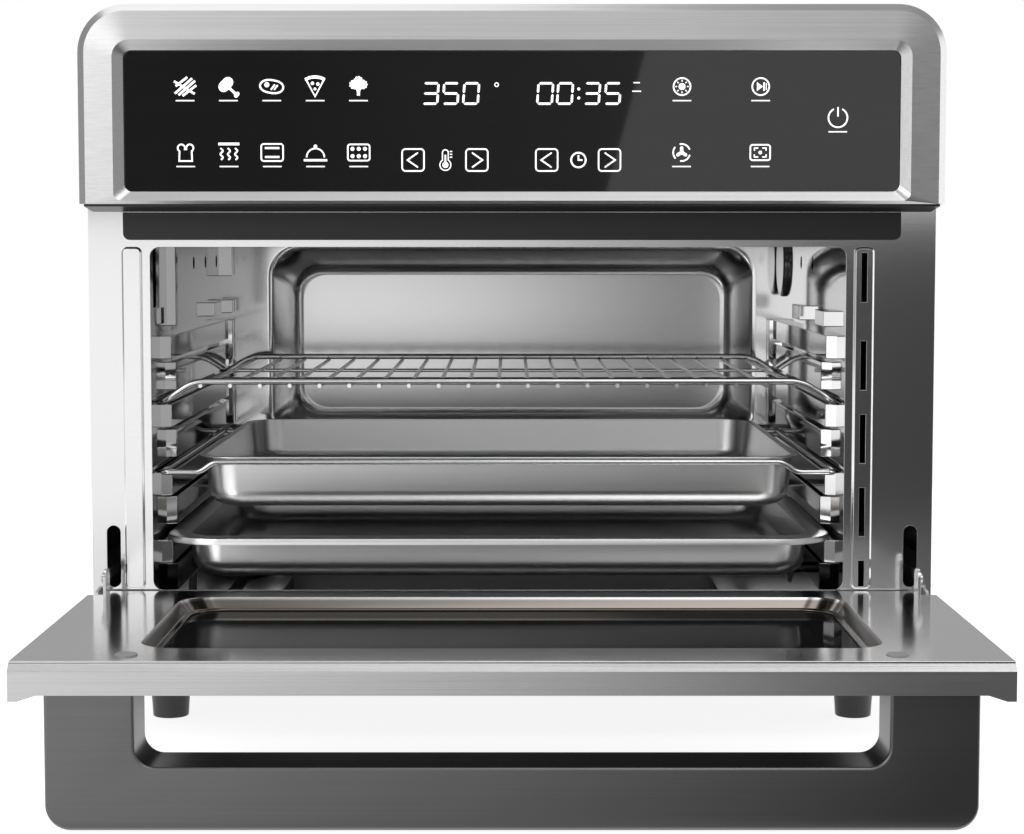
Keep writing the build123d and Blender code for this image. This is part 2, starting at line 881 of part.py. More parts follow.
def door_profile():
    # Seen along Y: side bands that stand proud of the middle and slope down to it.
    edge = half_width
    slope = edge - door_side_band
    middle = slope - door_side_slope
    top = -door_panel_sheet
    points = [(-edge, top), (-edge, -door_thickness), (-slope, -door_thickness),
              (-middle, -door_center_thickness), (middle, -door_center_thickness),
              (slope, -door_thickness), (edge, -door_thickness), (edge, top)]
    return Polygon(*points, align=None)


def hinge_notches(z0, z1):
    inner = half_width - hinge_notch_width
    near = door_near + door_panel_sheet
    far = axis_y - hinge_notch_length / 2 - door_panel_sheet
    return [block(x0, x1, far, near, z0, z1) for x0, x1 in ((-half_width, -inner), (inner, half_width))]


def window_span():
    near = -window_near_edge
    return near - window_length, near


def outer_glass_edge():
    return handle_width / 2 - handle_leg - outer_glass_side_gap


def outer_glass_span():
    far, near = window_span()
    return far - outer_glass_margin, near - outer_glass_margin / 2


def pivot_pin_span(side):
    inner = half_width - hinge_notch_width - door_rail
    outer = bracket_plane() + bracket_sheet + seam
    return sorted((side * inner, side * outer))


def door_frame():
    body = along_y(door_profile(), door_far, door_near)
    far_edge = body.edges().filter_by(Axis.X).group_by(Axis.Y)[0].sort_by(Axis.Z)[-1]
    body = chamfer(far_edge, door_bevel)
    far, near = window_span()
    inner = half_width - door_rail
    floor = -door_center_thickness + door_glass + door_wall * 0.7
    lip = door_far + door_bevel + door_wall
    pocket = block(-inner, inner, lip, near + door_panel_sheet, floor, -door_panel_sheet)
    glass_far, glass_near = outer_glass_span()
    half_glass = outer_glass_edge()
    recess = along_z(panel(-half_glass, half_glass, glass_far, glass_near, window_corner),
                     -door_center_thickness, -door_center_thickness + door_glass)
    ledge = window_ledge * 2
    hole = along_z(panel(-half_glass + ledge, half_glass - ledge, glass_far + ledge, glass_near - ledge,
                         window_corner), -door_thickness, 0)
    body -= [pocket, recess, hole] + hinge_notches(-door_thickness, 0)
    for side in (-1, 1):
        x0, x1 = pivot_pin_span(side)
        body -= rod_x(x0, x1, axis_y, axis_z, pivot_radius + pivot_clearance / 2)
    holes = [rod_z(-door_center_thickness, floor, x, y, handle_screw_radius + seam / 2)
             for x, y in handle_screw_places()]
    return body - holes


def window_face(inset):
    far, near = window_span()
    edge = half_width - window_side_gap - inset
    return panel(-edge, edge, far + inset, near - inset, window_corner)


def door_inner_panel():
    # A pressed sheet with a sunk window whose walls slope in to a narrow ledge.
    far = door_far + door_bevel
    sheet = block(-half_width, half_width, far, door_near, -door_panel_sheet, 0)
    wall = door_panel_sheet * 0.8
    bottom = -window_recess
    tub = taper_z(window_face(-wall), 0, window_face(window_slope - wall), bottom)
    tub += along_z(window_face(window_slope - wall), bottom - wall, bottom)
    hollow = taper_z(window_face(0), 0, window_face(window_slope), bottom)
    hole = along_z(window_face(window_slope + window_ledge), bottom - wall, 0)
    return sheet + tub - [hollow, hole] - hinge_notches(-door_panel_sheet, 0)


def door_inner_glass():
    top = -window_recess - door_panel_sheet * 0.8
    return along_z(window_face(window_slope), top - door_glass, top)


def door_outer_glass():
    far, near = outer_glass_span()
    edge = outer_glass_edge() - seam
    face = panel(-edge, edge, far + seam, near - seam, window_corner)
    return along_z(face, -door_center_thickness, -door_center_thickness + door_glass)


def handle_screw_places():
    x = handle_width / 2 - handle_leg / 2
    y = handle_front + handle_depth / 2
    return [(side * x, y + step * handle_screw_spacing / 2) for side in (-1, 1) for step in (-1, 1)]


def door_handle():
    # A flat U: two legs on the door and the bar between them.
    outer = panel(-handle_width / 2, handle_width / 2, handle_bottom, handle_top)
    outer = fillet(outer.vertices().group_by(Axis.Y)[0], handle_outer_corner)
    gap = handle_width / 2 - handle_leg
    inner = panel(-gap, gap, handle_bottom + handle_bar, handle_top + handle_leg)
    inner = fillet(inner.vertices().group_by(Axis.Y)[0], handle_inner_corner)
    grip = along_y(outer - inner, handle_front, handle_front + handle_depth)
    grip = fillet(grip.faces().sort_by(Axis.Y)[0].edges(), handle_edge)
    holes = [rod_z(handle_top - handle_screw_length, handle_top, x, y, handle_screw_radius + seam / 2)
             for x, y in handle_screw_places()]
    return grip - holes


def handle_screws():
    floor = -door_center_thickness + door_glass + door_wall * 0.7
    screws = []
    for x, y in handle_screw_places():
        shank = rod_z(handle_top - handle_screw_length + seam, floor, x, y, handle_screw_radius)
        screws.append(shank + rod_z(floor, floor + handle_screw_radius, x, y, handle_screw_head))
    return Compound(children=screws)


def door_bumpers():
    y = door_far + bumper_inset
    pieces = []
    for x in spread(2, body_width - 2 * bumper_side_gap):
        button = rod_z(0, bumper_height, x, y, bumper_radius)
        pieces.append(chamfer(button.edges().group_by(Axis.Z)[-1], bumper_height * 0.6))
    return Compound(children=pieces)


# Hinges, drawn for one side and mirrored by the sign

def bracket_plane():
    return half_width - bracket_edge_gap - bracket_sheet


def span_x(side, near, far):
    return sorted((side * near, side * far))


def spring_anchor():
    return bracket_length - spring_ring * 2, tab_pivot()[1]


def tab_pivot():
    return -tab_distance, tab_height - link_width


def tab_plane():
    return hinge_slot_x - tab_sheet


def hinge_bracket(side):
    # A side plate standing on the base pan, with the pivot ear and the spring's anchor pin.
    plane = bracket_plane()
    x0, x1 = span_x(side, plane, plane + bracket_sheet)
    base = body_bottom + housing_sheet
    front = frame_sheet + housing_sheet + 2 * seam
    anchor_y, anchor_z = spring_anchor()
    top = anchor_z + spring_ring * 2
    plate = along_x(panel(front, bracket_length, base, top), x0, x1)
    ear = panel(axis_y - ear_reach, front, axis_z - ear_reach, axis_z + ear_reach)
    ear = fillet(ear.vertices().group_by(Axis.X)[0], ear_reach * 0.9)
    plate += along_x(ear, x0, x1)
    f0, f1 = span_x(side, plane - link_width * 2, plane)
    plate += block(f0, f1, front + link_width * 2, bracket_length, base, base + bracket_sheet)
    p0, p1 = span_x(side, link_plane(), plane)
    plate += rod_x(p0, p1, anchor_y, anchor_z, link_pin_radius)
    hole = rod_x(x0, x1, axis_y, axis_z, pivot_radius + pivot_clearance)
    return plate - hole


def door_pivot_pins():
    pins = []
    for side in (-1, 1):
        x0, x1 = pivot_pin_span(side)
        pins.append(rod_x(x0, x1, axis_y, axis_z, pivot_radius))
    return Compound(children=pins)


def hinge_tab(side):
    y, z = tab_pivot()
    x0, x1 = span_x(side, tab_plane(), tab_plane() + tab_sheet)
    face = panel(y - tab_width / 2, y + tab_width / 2, 0, tab_height)
    face = fillet(face.vertices().group_by(Axis.Y)[-1], tab_width * 0.4)
    return along_x(face, x0, x1) - rod_x(x0, x1, y, z, link_pin_radius + pivot_clearance)


def link_plane():
    return tab_plane() + tab_sheet + running_gap


def hinge_link(side):
    # A flat strap from the door's tab back to the spring, with a pin at each end.
    y, z = tab_pivot()
    x0, x1 = span_x(side, link_plane(), link_plane() + link_sheet)
    strap = SlotCenterToCenter(link_length, link_width)
    strap = along_x(Pos(y + link_length / 2, z) * strap, x0, x1)
    p0, p1 = span_x(side, tab_plane() - running_gap, link_plane())
    q0, q1 = span_x(side, link_plane() + link_sheet, link_plane() + link_sheet * 3)
    strap += rod_x(p0, p1, y, z, link_pin_radius)
    return strap + rod_x(q0, q1, y + link_length, z, link_pin_radius)


def door_spring(side):
    # A close-wound extension spring drawn as a sleeve, with a ring at each end.
    y, z = tab_pivot()
    front = y + link_length
    back = spring_anchor()[0]
    ring0 = link_plane() + link_sheet + running_gap
    ring1 = ring0 + link_sheet
    middle = (ring0 + ring1) / 2
    neck = spring_ring * 2
    x0, x1 = span_x(side, ring0, ring1)
    coil = rod_y(front + neck, back - neck, side * middle, z, spring_radius)
    coil -= rod_y(front + neck, back - neck, side * middle, z, spring_radius - spring_wall)
    for at in (front, back):
        inward = 1 if at == front else -1
        eye = rod_x(x0, x1, at, z, spring_ring)
        y0, y1 = sorted((at + inward * link_pin_radius, at + inward * (neck + spring_wall)))
        half = spring_radius - spring_wall / 4
        eye += block(x0, x1, y0, y1, z - half, z + half)
        coil += eye
        coil -= rod_x(x0, x1, at, z, link_pin_radius + seam)
    return coil


# Bakeware

def guide_edge():
    return opening_width / 2


def rack_side():
    return guide_edge() - rack_side_gap - rack_wire / 2


def wire_rack():
    z = level_floor(2) + running_gap + rack_wire / 2
    side = rack_side()
    step = side - rack_step
    front = rack_front
    back = rack_front + rack_length
    raised = z + rack_rise
    half = [(0, front, raised), (step, front, raised), (side, front, z),
            (side, back, z), (step, back, raised), (0, back, raised)]
    loop = mirrored_loop(half, rack_wire / 2, rack_bend)
    bar_z = raised - rack_wire / 2 - bar_wire / 4
    pitch = 2 * (step - rack_wire) / (bar_count - 1)
    for x in spread(bar_count, pitch):
        loop += rod_y(front - bar_wire / 2, back + bar_wire / 2, x, bar_z, bar_wire / 2)
    brace_z = bar_z - bar_wire * 0.75
    for y in (front + rack_length / 3, front + rack_length * 2 / 3):
        loop += rod_x(-step, step, y, brace_z, bar_wire / 2)
    return Pos(opening_offset, 0, 0) * loop


def pan_middle():
    return opening_offset, rack_front + rack_length / 2


def dish(width, length, rim_z, depth, flare, corner):
    # A pressed dish: sloping walls drawn out of a sheet, with a rounded bottom edge.
    def face(inset):
        half_x = width / 2 - inset
        half_y = length / 2 - inset
        return panel(-half_x, half_x, -half_y, half_y, corner - inset)
    bottom = rim_z - depth
    shell = taper_z(face(flare), bottom, face(0), rim_z)
    shell = fillet(shell.faces().sort_by(Axis.Z)[0].edges(), pan_bottom_radius)
    hollow = taper_z(face(flare + pan_sheet), bottom + pan_sheet, face(pan_sheet), rim_z)
    hollow = fillet(hollow.faces().sort_by(Axis.Z)[0].edges(), pan_bottom_radius - pan_sheet)
    return shell - hollow


def rim_ring(width, length, corner, rim, z0, z1):
    outer = panel(-width / 2 - rim, width / 2 + rim, -length / 2 - rim, length / 2 + rim, corner + rim)
    inner = panel(-width / 2, width / 2, -length / 2, length / 2, corner)
    return along_z(outer - inner, z0, z1)


def carrier_level():
    return level_floor(1) + running_gap + carrier_wire / 2


def pan_carrier():
    # A loop whose sides ride in the grooves and whose ends step up under the pan's rim.
    z = carrier_level()
    side = rack_side()
    step = side - carrier_step
    ramp = step - carrier_ramp
    front = rack_front
    back = rack_front + rack_length
    raised = z + carrier_rise
    half = [(0, front, raised), (ramp, front, raised), (step, front, z), (side, front, z),
            (side, back, z), (step, back, z), (ramp, back, raised), (0, back, raised)]
    loop = mirrored_loop(half, carrier_wire / 2, carrier_wire * 0.9)
    return Pos(opening_offset, 0, 0) * loop


def roast_pan():
    rim_z = carrier_level() + carrier_rise + carrier_wire / 2 + seam + pan_sheet
    length = rack_length - 2 * carrier_wire
    pan = dish(pan_width, length, rim_z, pan_depth, pan_flare, pan_corner)
    pan += rim_ring(pan_width - 2 * pan_sheet, length - 2 * pan_sheet, pan_corner - pan_sheet,
                    pan_rim + pan_sheet, rim_z - pan_sheet, rim_z)
    x, y = pan_middle()
    return Pos(x, y, 0) * pan


def baking_tray():
    width = opening_width - 2 * tray_side_gap - 2 * tray_rim
    length = rack_length - tray_rim
    rim_z = level_floor(0) + running_gap + tray_lip
    tray = dish(width, length, rim_z, tray_depth, tray_flare, tray_corner)
    tray += rim_ring(width - 2 * pan_sheet, length - 2 * pan_sheet, tray_corner - pan_sheet,
                     tray_rim + pan_sheet, rim_z - pan_sheet, rim_z)
    edge = tray_rim - pan_sheet
    lip_width = width + 2 * edge
    lip_length = length + 2 * edge
    tray += rim_ring(lip_width, lip_length, tray_corner + edge, pan_sheet, rim_z - tray_lip, rim_z)
    x, y = pan_middle()
    return Pos(x, y, 0) * tray


def crumb_tray():
    x0 = opening_offset - crumb_width / 2
    x1 = opening_offset + crumb_width / 2
    back = cavity_depth - running_gap * 10
    front = -seam
    tray = block(x0, x1, front, back, crumb_bottom, crumb_bottom + crumb_depth)
    tray -= block(x0 + pan_sheet, x1 - pan_sheet, front + pan_sheet, back - pan_sheet,
                  crumb_bottom + pan_sheet, crumb_bottom + crumb_depth)
    over = crumb_front_overlap
    top = crumb_bottom + crumb_depth + running_gap + over
    face = panel(x0 - over, x1 + over, top - crumb_front_height, top, over / 2)
    fascia = along_y(face, front - crumb_front_sheet, front)
    pull = block(opening_offset - crumb_width / 6, opening_offset + crumb_width / 6,
                 front - crumb_front_sheet * 4, front - crumb_front_sheet, top - over, top - over / 2)
    return tray + fascia + pull


pieces = {
    "outer_wrap": outer_wrap(),
    "base_pan": base_pan(),
    "rear_panel": rear_panel(),
    "rear_screws": rear_screws(),
    "cord_gland": cord_gland(),
    "feet": feet(),
    "front_frame": front_frame(),
    "upper_trim_strip": upper_trim_strip(),
    "control_bezel": control_bezel(),
    "control_glass": control_glass(),
    "panel_skirt": panel_skirt(),
    "panel_housing": panel_housing(),
    "control_board": control_board(),
    "display_module": display_module(),
    "cavity_left_wall": cavity_left_wall(),
    "cavity_right_wall": cavity_right_wall(),
    "cavity_back_wall": cavity_back_wall(),
    "cavity_ceiling": cavity_ceiling(),
    "cavity_floor": cavity_floor(),
    "upper_element": upper_element(),
    "lower_element": lower_element(),
    "element_bushings": element_bushings(),
    "element_clips": element_clips(),
    "fan_guard": fan_guard(),
    "convection_fan": convection_fan(),
    "fan_shaft": fan_shaft(),
    "cooling_blade": cooling_blade(),
    "fan_motor": fan_motor(),
    "motor_bracket": motor_bracket(),
    "lamp_lens": lamp_lens(),
    "lamp_socket": lamp_socket(),
    "lamp_bulb": lamp_bulb(),
    "thermostat_probe": thermostat_probe(),
    "power_board": power_board(),
    "door_frame": door_frame(),
    "door_inner_panel": door_inner_panel(),
    "door_inner_glass": door_inner_glass(),
    "door_outer_glass": door_outer_glass(),
    "door_handle": door_handle(),
    "handle_screws": handle_screws(),
    "door_bumpers": door_bumpers(),
    "door_pivot_pins": door_pivot_pins(),
    "wire_rack": wire_rack(),
    "pan_carrier": pan_carrier(),
    "roast_pan": roast_pan(),
    "baking_tray": baking_tray(),
    "crumb_tray": crumb_tray(),
}
for side, word in ((-1, "left"), (1, "right")):
    pieces["hinge_bracket_" + word] = hinge_bracket(side)
    pieces["hinge_tab_" + word] = hinge_tab(side)
    pieces["hinge_link_" + word] = hinge_link(side)
    pieces["door_spring_" + word] = door_spring(side)

os.makedirs("parts", exist_ok=True)
for name, shape in pieces.items():
    export_step(Pos(0, front_y, -counter_z) * shape, "parts/" + name + ".step")
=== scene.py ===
import bpy
import bmesh
import json
import numpy as np
from math import pi, radians
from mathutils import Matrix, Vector

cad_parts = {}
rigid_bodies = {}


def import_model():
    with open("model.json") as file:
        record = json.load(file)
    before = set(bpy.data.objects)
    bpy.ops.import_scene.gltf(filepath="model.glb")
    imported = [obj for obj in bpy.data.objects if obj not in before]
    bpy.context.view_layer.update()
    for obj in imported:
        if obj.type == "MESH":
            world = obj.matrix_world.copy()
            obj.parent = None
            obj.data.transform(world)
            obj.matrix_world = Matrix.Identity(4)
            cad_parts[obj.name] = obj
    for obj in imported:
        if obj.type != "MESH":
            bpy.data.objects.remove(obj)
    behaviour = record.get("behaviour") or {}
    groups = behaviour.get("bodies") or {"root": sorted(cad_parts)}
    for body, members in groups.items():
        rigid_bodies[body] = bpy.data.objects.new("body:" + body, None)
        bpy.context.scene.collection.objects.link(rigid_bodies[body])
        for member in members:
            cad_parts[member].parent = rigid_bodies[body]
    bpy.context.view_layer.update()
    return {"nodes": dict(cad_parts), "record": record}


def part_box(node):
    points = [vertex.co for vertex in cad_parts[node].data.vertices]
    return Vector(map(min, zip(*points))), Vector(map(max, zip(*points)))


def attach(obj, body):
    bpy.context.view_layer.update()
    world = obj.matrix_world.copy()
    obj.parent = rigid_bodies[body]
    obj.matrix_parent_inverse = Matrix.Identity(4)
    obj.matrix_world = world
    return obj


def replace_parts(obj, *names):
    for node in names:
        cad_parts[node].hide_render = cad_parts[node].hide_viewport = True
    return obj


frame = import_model()
nodes = frame["nodes"]
bodyOf = {node: body for body, group in frame["record"]["behaviour"]["bodies"].items() for node in group}
slotOf = {part["node"]: part["material_slot"] for part in frame["record"]["subparts"]}
for stray in [o for o in bpy.data.objects if o.type in {"LIGHT", "CAMERA"} or o.name == "Cube"]:
    bpy.data.objects.remove(stray)

mm = 0.001
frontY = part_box("outer_wrap")[0][1] - 0.8 * mm  # face of the front frame
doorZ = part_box("door_inner_panel")[1][2]  # inner face of the open door
sillOrigin = np.array([0.0, frontY, doorZ])
print("frame loaded,", len(nodes), "nodes")


def fromBox(name):
    # a node's box in sill millimetres: low corner, high corner
    low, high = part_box(name)
    return (np.array(low) - sillOrigin) / mm, (np.array(high) - sillOrigin) / mm


# Shader maths

class Sock:
    # wraps one socket, so that sums on values add their Math nodes
    def __init__(self, tree, socket=None):
        self.tree = tree
        self.socket = socket

    def node(self, kind, settings=None, values=None, out=0):
        # any node: settings first, then the values or links of its sockets
        made = self.tree.nodes.new("ShaderNode" + kind)
        for key, value in (settings or {}).items():
            if key == "stops":
                for stop, (place, colour) in enumerate(value):
                    spots = made.color_ramp.elements
                    spot = spots[stop] if stop < len(spots) else spots.new(place)
                    spot.position = place
                    spot.color = (*colour, 1.0) if len(np.shape(colour)) else (colour, colour, colour, 1.0)
            else:
                setattr(made, key, value)
        for key, value in (values or {}).items():
            if isinstance(value, Sock):
                self.tree.links.new(value.socket, made.inputs[key])
            else:
                made.inputs[key].default_value = value
        return Sock(self.tree, made.outputs[out] if made.outputs else None)

    def maths(self, operation, first, second=0.0):
        return self.node("Math", {"operation": operation}, {0: first, 1: second})

    def __add__(self, other):
        return self.maths("ADD", self, other)

    def __radd__(self, other):
        return self.maths("ADD", other, self)

    def __sub__(self, other):
        return self.maths("SUBTRACT", self, other)

    def __rsub__(self, other):
        return self.maths("SUBTRACT", other, self)

    def __mul__(self, other):
        return self.maths("MULTIPLY", self, other)

    def __rmul__(self, other):
        return self.maths("MULTIPLY", other, self)

    def __truediv__(self, other):
        return self.maths("DIVIDE", self, other)

    def __gt__(self, other):
        return self.maths("GREATER_THAN", self, other)


def grey(value):
    return (value, value, value, 1.0)


class Finish:
    # a new material with its Principled shader; fixed numbers go straight on the shader's sockets
    def __init__(self, name, fixed):
        self.material = bpy.data.materials.new(name)
        self.material.use_nodes = True
        self.tree = self.material.node_tree
        self.shader = self.tree.nodes["Principled BSDF"]
        self.sock = Sock(self.tree)
        for key, value in fixed.items():
            self.shader.inputs[key].default_value = value

    def place(self, stretch=(1.0, 1.0, 1.0)):
        where = self.sock.node("TexCoord", out="Object")
        return self.sock.node("Mapping", {}, {"Vector": where, "Scale": stretch})

    def noise(self, vector, scale=1.0, detail=3.0, rough=0.6):
        return self.sock.node("TexNoise", {},
                              {"Vector": vector, "Scale": scale, "Detail": detail, "Roughness": rough})

    def tint(self, factor, dark, light):
        # one of two colours by a factor
        return self.sock.node("ValToRGB", {"stops": ((0.25, dark), (0.75, light))}, {"Fac": factor})

    def along(self, axis, start, end):
        # 0 before start, 1 after end, measured along one axis in metres
        place = self.sock.node("SeparateXYZ", {}, {0: self.sock.node("TexCoord", out="Object")}, out=axis)
        return self.sock.node("MapRange", {"clamp": True}, {"Value": place, "From Min": start, "From Max": end})

    def feed(self, **links):
        for key, value in links.items():
            self.tree.links.new(value.socket, self.shader.inputs[key.replace("_", " ")])

    def bump(self, height, strength, distance):
        self.feed(Normal=self.sock.node("Bump", {}, {"Height": height, "Strength": strength, "Distance": distance}))


# clouds per metre and their share, depth of scratches and dents in metres, share of rubbing marks in the dents
steelSizes = {"clouds": 9.0, "cloudShare": 0.25, "scratch": 0.0002, "dent": 0.004, "rubShare": 0.02}


def brushedSteel(name, brush):
    # noise drawn out along the brushing, with slow clouds under it
    made = Finish(name, {"Metallic": 1.0})
    streak = made.noise(made.place(brush["stretch"]), 1.0, 4.0, 0.7)
    cloud = made.noise(made.place(), steelSizes["clouds"], 2.0, 0.5)
    mix = streak * (1 - steelSizes["cloudShare"]) + cloud * steelSizes["cloudShare"]
    low, high = brush["tone"]
    made.feed(Base_Color=made.tint(mix, low, high), Roughness=brush["rough"] + (mix - 0.5) * brush["roughSpread"])
    made.bump(streak, brush["bump"], steelSizes["scratch"])
    return made.material


def polishedSteel(name, polish):
    # near-mirror sheet: slow ripples, faint rubbing marks, and where given a band of painted shade
    made = Finish(name, {"Metallic": 1.0})
    ripple = made.noise(made.place(), polish["rippleScale"], 1.0, 0.4)
    rub = made.noise(made.place(polish["stretch"]), 1.0, 4.0, 0.7)
    colour = made.tint(rub * 0.5 + ripple * 0.5, *polish["tone"])
    rough = polish["rough"] + rub * polish["roughSpread"]
    if "satin" in polish:
        start, end, more = polish["satin"]
        rough = rough + made.along("Y", start, end) * more
    # painted shade: under a given height on Z the colour turns to a flat dark tone instead of the steel's
    if "sunk" in polish:
        start, end, dark = polish["sunk"]
        share = made.along("Z", start, end)
        colour = made.sock.node("Mix", {"data_type": "RGBA"}, {"Factor": share, 6: (*dark, 1.0), 7: colour}, out=2)
    made.feed(Base_Color=colour, Roughness=rough)
    made.bump(ripple + rub * steelSizes["rubShare"], polish["bump"], steelSizes["dent"])
    return made.material


def plainPlastic(name, shell):
    # moulded plastic, rubber or paint: fine grain on colour, gloss and surface
    made = Finish(name, {"Metallic": shell.get("metal", 0.0), "Specular IOR Level": shell.get("specular", 0.5)})
    grain = made.noise(made.place(), shell["grain"], 3.0, 0.6)
    made.feed(Base_Color=made.tint(grain, *shell["tone"]), Roughness=shell["rough"] + (grain - 0.5) * 0.12)
    made.bump(grain, shell["bump"], steelSizes["scratch"])
    return made.material


def litMarks(name, lamp):
    # white print lit from behind, a little uneven
    made = Finish(name, {"Roughness": 0.4, "Emission Strength": lamp["strength"]})
    patch = made.noise(made.place(), 60.0, 2.0, 0.5)
    made.feed(Base_Color=made.tint(patch, 0.7, 0.8), Emission_Color=made.tint(patch, *lamp["tone"]))
    return made.material


def darkGlass(name, pane):
    # glossy pane whose gloss is broken only by faint wiping marks
    made = Finish(name, {"IOR": pane.get("ior", 1.5), "Coat Weight": pane["coat"], "Coat Roughness": 0.02})
    wipe = made.noise(made.place((14.0, 30.0, 60.0)), 1.0, 3.0, 0.6)
    made.feed(Base_Color=made.tint(wipe, *pane["tone"]), Roughness=pane["rough"] + wipe * 0.03)
    return made.material


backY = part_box("cavity_back_wall")[0][1]
steelX = (5.0, 1400.0, 1400.0)  # brushed from side to side
steelY = (1400.0, 5.0, 1400.0)  # brushed from front to back
finishes = {
    "wrap_steel": brushedSteel("wrapSteel", {
        "stretch": steelY, "tone": (0.50, 0.60), "rough": 0.30, "roughSpread": 0.14, "bump": 0.10}),
    "bezel_steel": brushedSteel("bezelSteel", {
        "stretch": (5.0, 700.0, 1100.0), "tone": (0.50, 0.66), "rough": 0.30, "roughSpread": 0.16, "bump": 0.16}),
    "front_steel": polishedSteel("frontSteel", {
        "stretch": steelX, "rippleScale": 5.0, "tone": (0.80, 0.86), "rough": 0.09, "roughSpread": 0.05, "bump": 0.01,
        # painted shade: the front frame below the open door's level is coloured dark grey, as shade under the door
        "sunk": (doorZ - 0.014, doorZ - 0.008, (0.40, 0.40, 0.40))}),
    "liner_polished": polishedSteel("linerPolished", {
        "stretch": steelY, "rippleScale": 16.0, "tone": (0.74, 0.82), "rough": 0.03, "roughSpread": 0.04,
        "bump": 0.008}),
    "liner_satin": polishedSteel("linerSatin", {
        "stretch": (300.0, 700.0, 700.0), "rippleScale": 7.0, "tone": (0.66, 0.72), "rough": 0.07,
        "roughSpread": 0.05, "bump": 0.01, "satin": (backY + 0.012, backY + 0.026, 0.08)}),
    "door_steel": brushedSteel("doorSteel", {
        "stretch": steelX, "tone": (0.62, 0.72), "rough": 0.24, "roughSpread": 0.12, "bump": 0.10}),
    "door_inner_steel": polishedSteel("doorInnerSteel", {
        "stretch": (5.0, 900.0, 900.0), "rippleScale": 6.0, "tone": (0.72, 0.80), "rough": 0.10, "roughSpread": 0.08,
        # painted shade: the window recess of the door's inner panel, below its face, is coloured dark brown-grey,
        # standing in for shade and dim reflection in the recess
        "bump": 0.03, "sunk": (doorZ - 0.0016, doorZ - 0.0004, (0.24, 0.22, 0.20))}),
    "handle_steel": brushedSteel("handleSteel", {
        "stretch": steelX, "tone": (0.165, 0.20), "rough": 0.34, "roughSpread": 0.10, "bump": 0.05}),
    "pan_steel": polishedSteel("panSteel", {
        "stretch": steelX, "rippleScale": 10.0, "tone": (0.84, 0.92), "rough": 0.26, "roughSpread": 0.10,
        "bump": 0.03}),
    "wire_chrome": polishedSteel("wireChrome", {
        "stretch": (300.0, 300.0, 300.0), "rippleScale": 40.0, "tone": (0.66, 0.78), "rough": 0.12,
        "roughSpread": 0.08, "bump": 0.04}),
    "crumb_steel": polishedSteel("crumbSteel", {
        "stretch": steelX, "rippleScale": 8.0, "tone": (0.50, 0.58), "rough": 0.26, "roughSpread": 0.08,
        "bump": 0.05}),
    "hinge_steel": polishedSteel("hingeSteel", {
        "stretch": steelY, "rippleScale": 30.0, "tone": (0.60, 0.70), "rough": 0.16, "roughSpread": 0.08,
        "bump": 0.03}),
    "zinc_steel": polishedSteel("zincSteel", {
        "stretch": (60.0, 60.0, 60.0), "rippleScale": 60.0, "tone": (0.48, 0.60), "rough": 0.32, "roughSpread": 0.16,
        "bump": 0.02}),
    "pin_steel": polishedSteel("pinSteel", {
        "stretch": (400.0, 400.0, 400.0), "rippleScale": 30.0, "tone": (0.56, 0.64), "rough": 0.16,
        "roughSpread": 0.1, "bump": 0.01}),
    "screw_steel": polishedSteel("screwSteel", {
        "stretch": (500.0, 500.0, 500.0), "rippleScale": 30.0, "tone": (0.52, 0.64), "rough": 0.22,
        "roughSpread": 0.1, "bump": 0.01}),
    "spring_steel": polishedSteel("springSteel", {
        "stretch": (300.0, 300.0, 300.0), "rippleScale": 30.0, "tone": (0.34, 0.44), "rough": 0.28,
        "roughSpread": 0.1, "bump": 0.01}),
    "fan_aluminium": polishedSteel("fanAluminium", {
        "stretch": (90.0, 90.0, 90.0), "rippleScale": 20.0, "tone": (0.58, 0.66), "rough": 0.34, "roughSpread": 0.1,
        "bump": 0.02}),
    "element_sheath": plainPlastic("elementSheath", {
        "tone": (0.10, 0.17), "rough": 0.42, "grain": 900.0, "bump": 0.08, "metal": 1.0}),
    "base_sheet": plainPlastic("basePaint", {"tone": (0.10, 0.12), "rough": 0.48, "grain": 1600.0, "bump": 0.10}),
    "trim_black": plainPlastic("trimBlack", {"tone": (0.012, 0.017), "rough": 0.34, "grain": 1500.0, "bump": 0.04}),
    "housing_plastic": plainPlastic("housingPlastic",
                                    {"tone": (0.03, 0.04), "rough": 0.5, "grain": 1200.0, "bump": 0.1}),
    "display_plastic": plainPlastic("displayPlastic",
                                    {"tone": (0.04, 0.05), "rough": 0.4, "grain": 1200.0, "bump": 0.04}),
    "circuit_board": plainPlastic("circuitBoard", {
        "tone": ((0.02, 0.10, 0.04), (0.03, 0.16, 0.06)), "rough": 0.4, "grain": 300.0, "bump": 0.1}),
    "gland_rubber": plainPlastic("glandPlastic", {"tone": (0.02, 0.03), "rough": 0.5, "grain": 900.0, "bump": 0.1}),
    "foot_rubber": plainPlastic("footPlastic", {"tone": (0.085, 0.11), "rough": 0.42, "grain": 900.0, "bump": 0.06}),
    "bumper_rubber": plainPlastic("bumperRubber", {"tone": (0.26, 0.32), "rough": 0.4, "grain": 900.0, "bump": 0.05}),
    "ceramic": plainPlastic("ceramic", {
        "tone": ((0.74, 0.72, 0.66), (0.80, 0.78, 0.73)), "rough": 0.45, "grain": 500.0, "bump": 0.08}),
    "motor_iron": plainPlastic("motorIron",
                               {"tone": (0.16, 0.24), "rough": 0.42, "grain": 700.0, "bump": 0.1, "metal": 0.6}),
    "control_glass": darkGlass("controlGlass", {"tone": (0.0075, 0.0095), "rough": 0.02, "coat": 0.3}),
    "door_glass": darkGlass("doorGlass", {"tone": (0.008, 0.011), "rough": 0.03, "coat": 0.0, "ior": 1.055}),
    "marks": litMarks("panelMarks", {"tone": (0.86, 0.94), "strength": 1.0}),
    "lamp_glass": darkGlass("lampGlass", {"tone": (0.05, 0.07), "rough": 0.06, "coat": 0.6}),
}
print("finishes made,", len(finishes))


# Mesh makers: every shape is a grid of points in sill millimetres

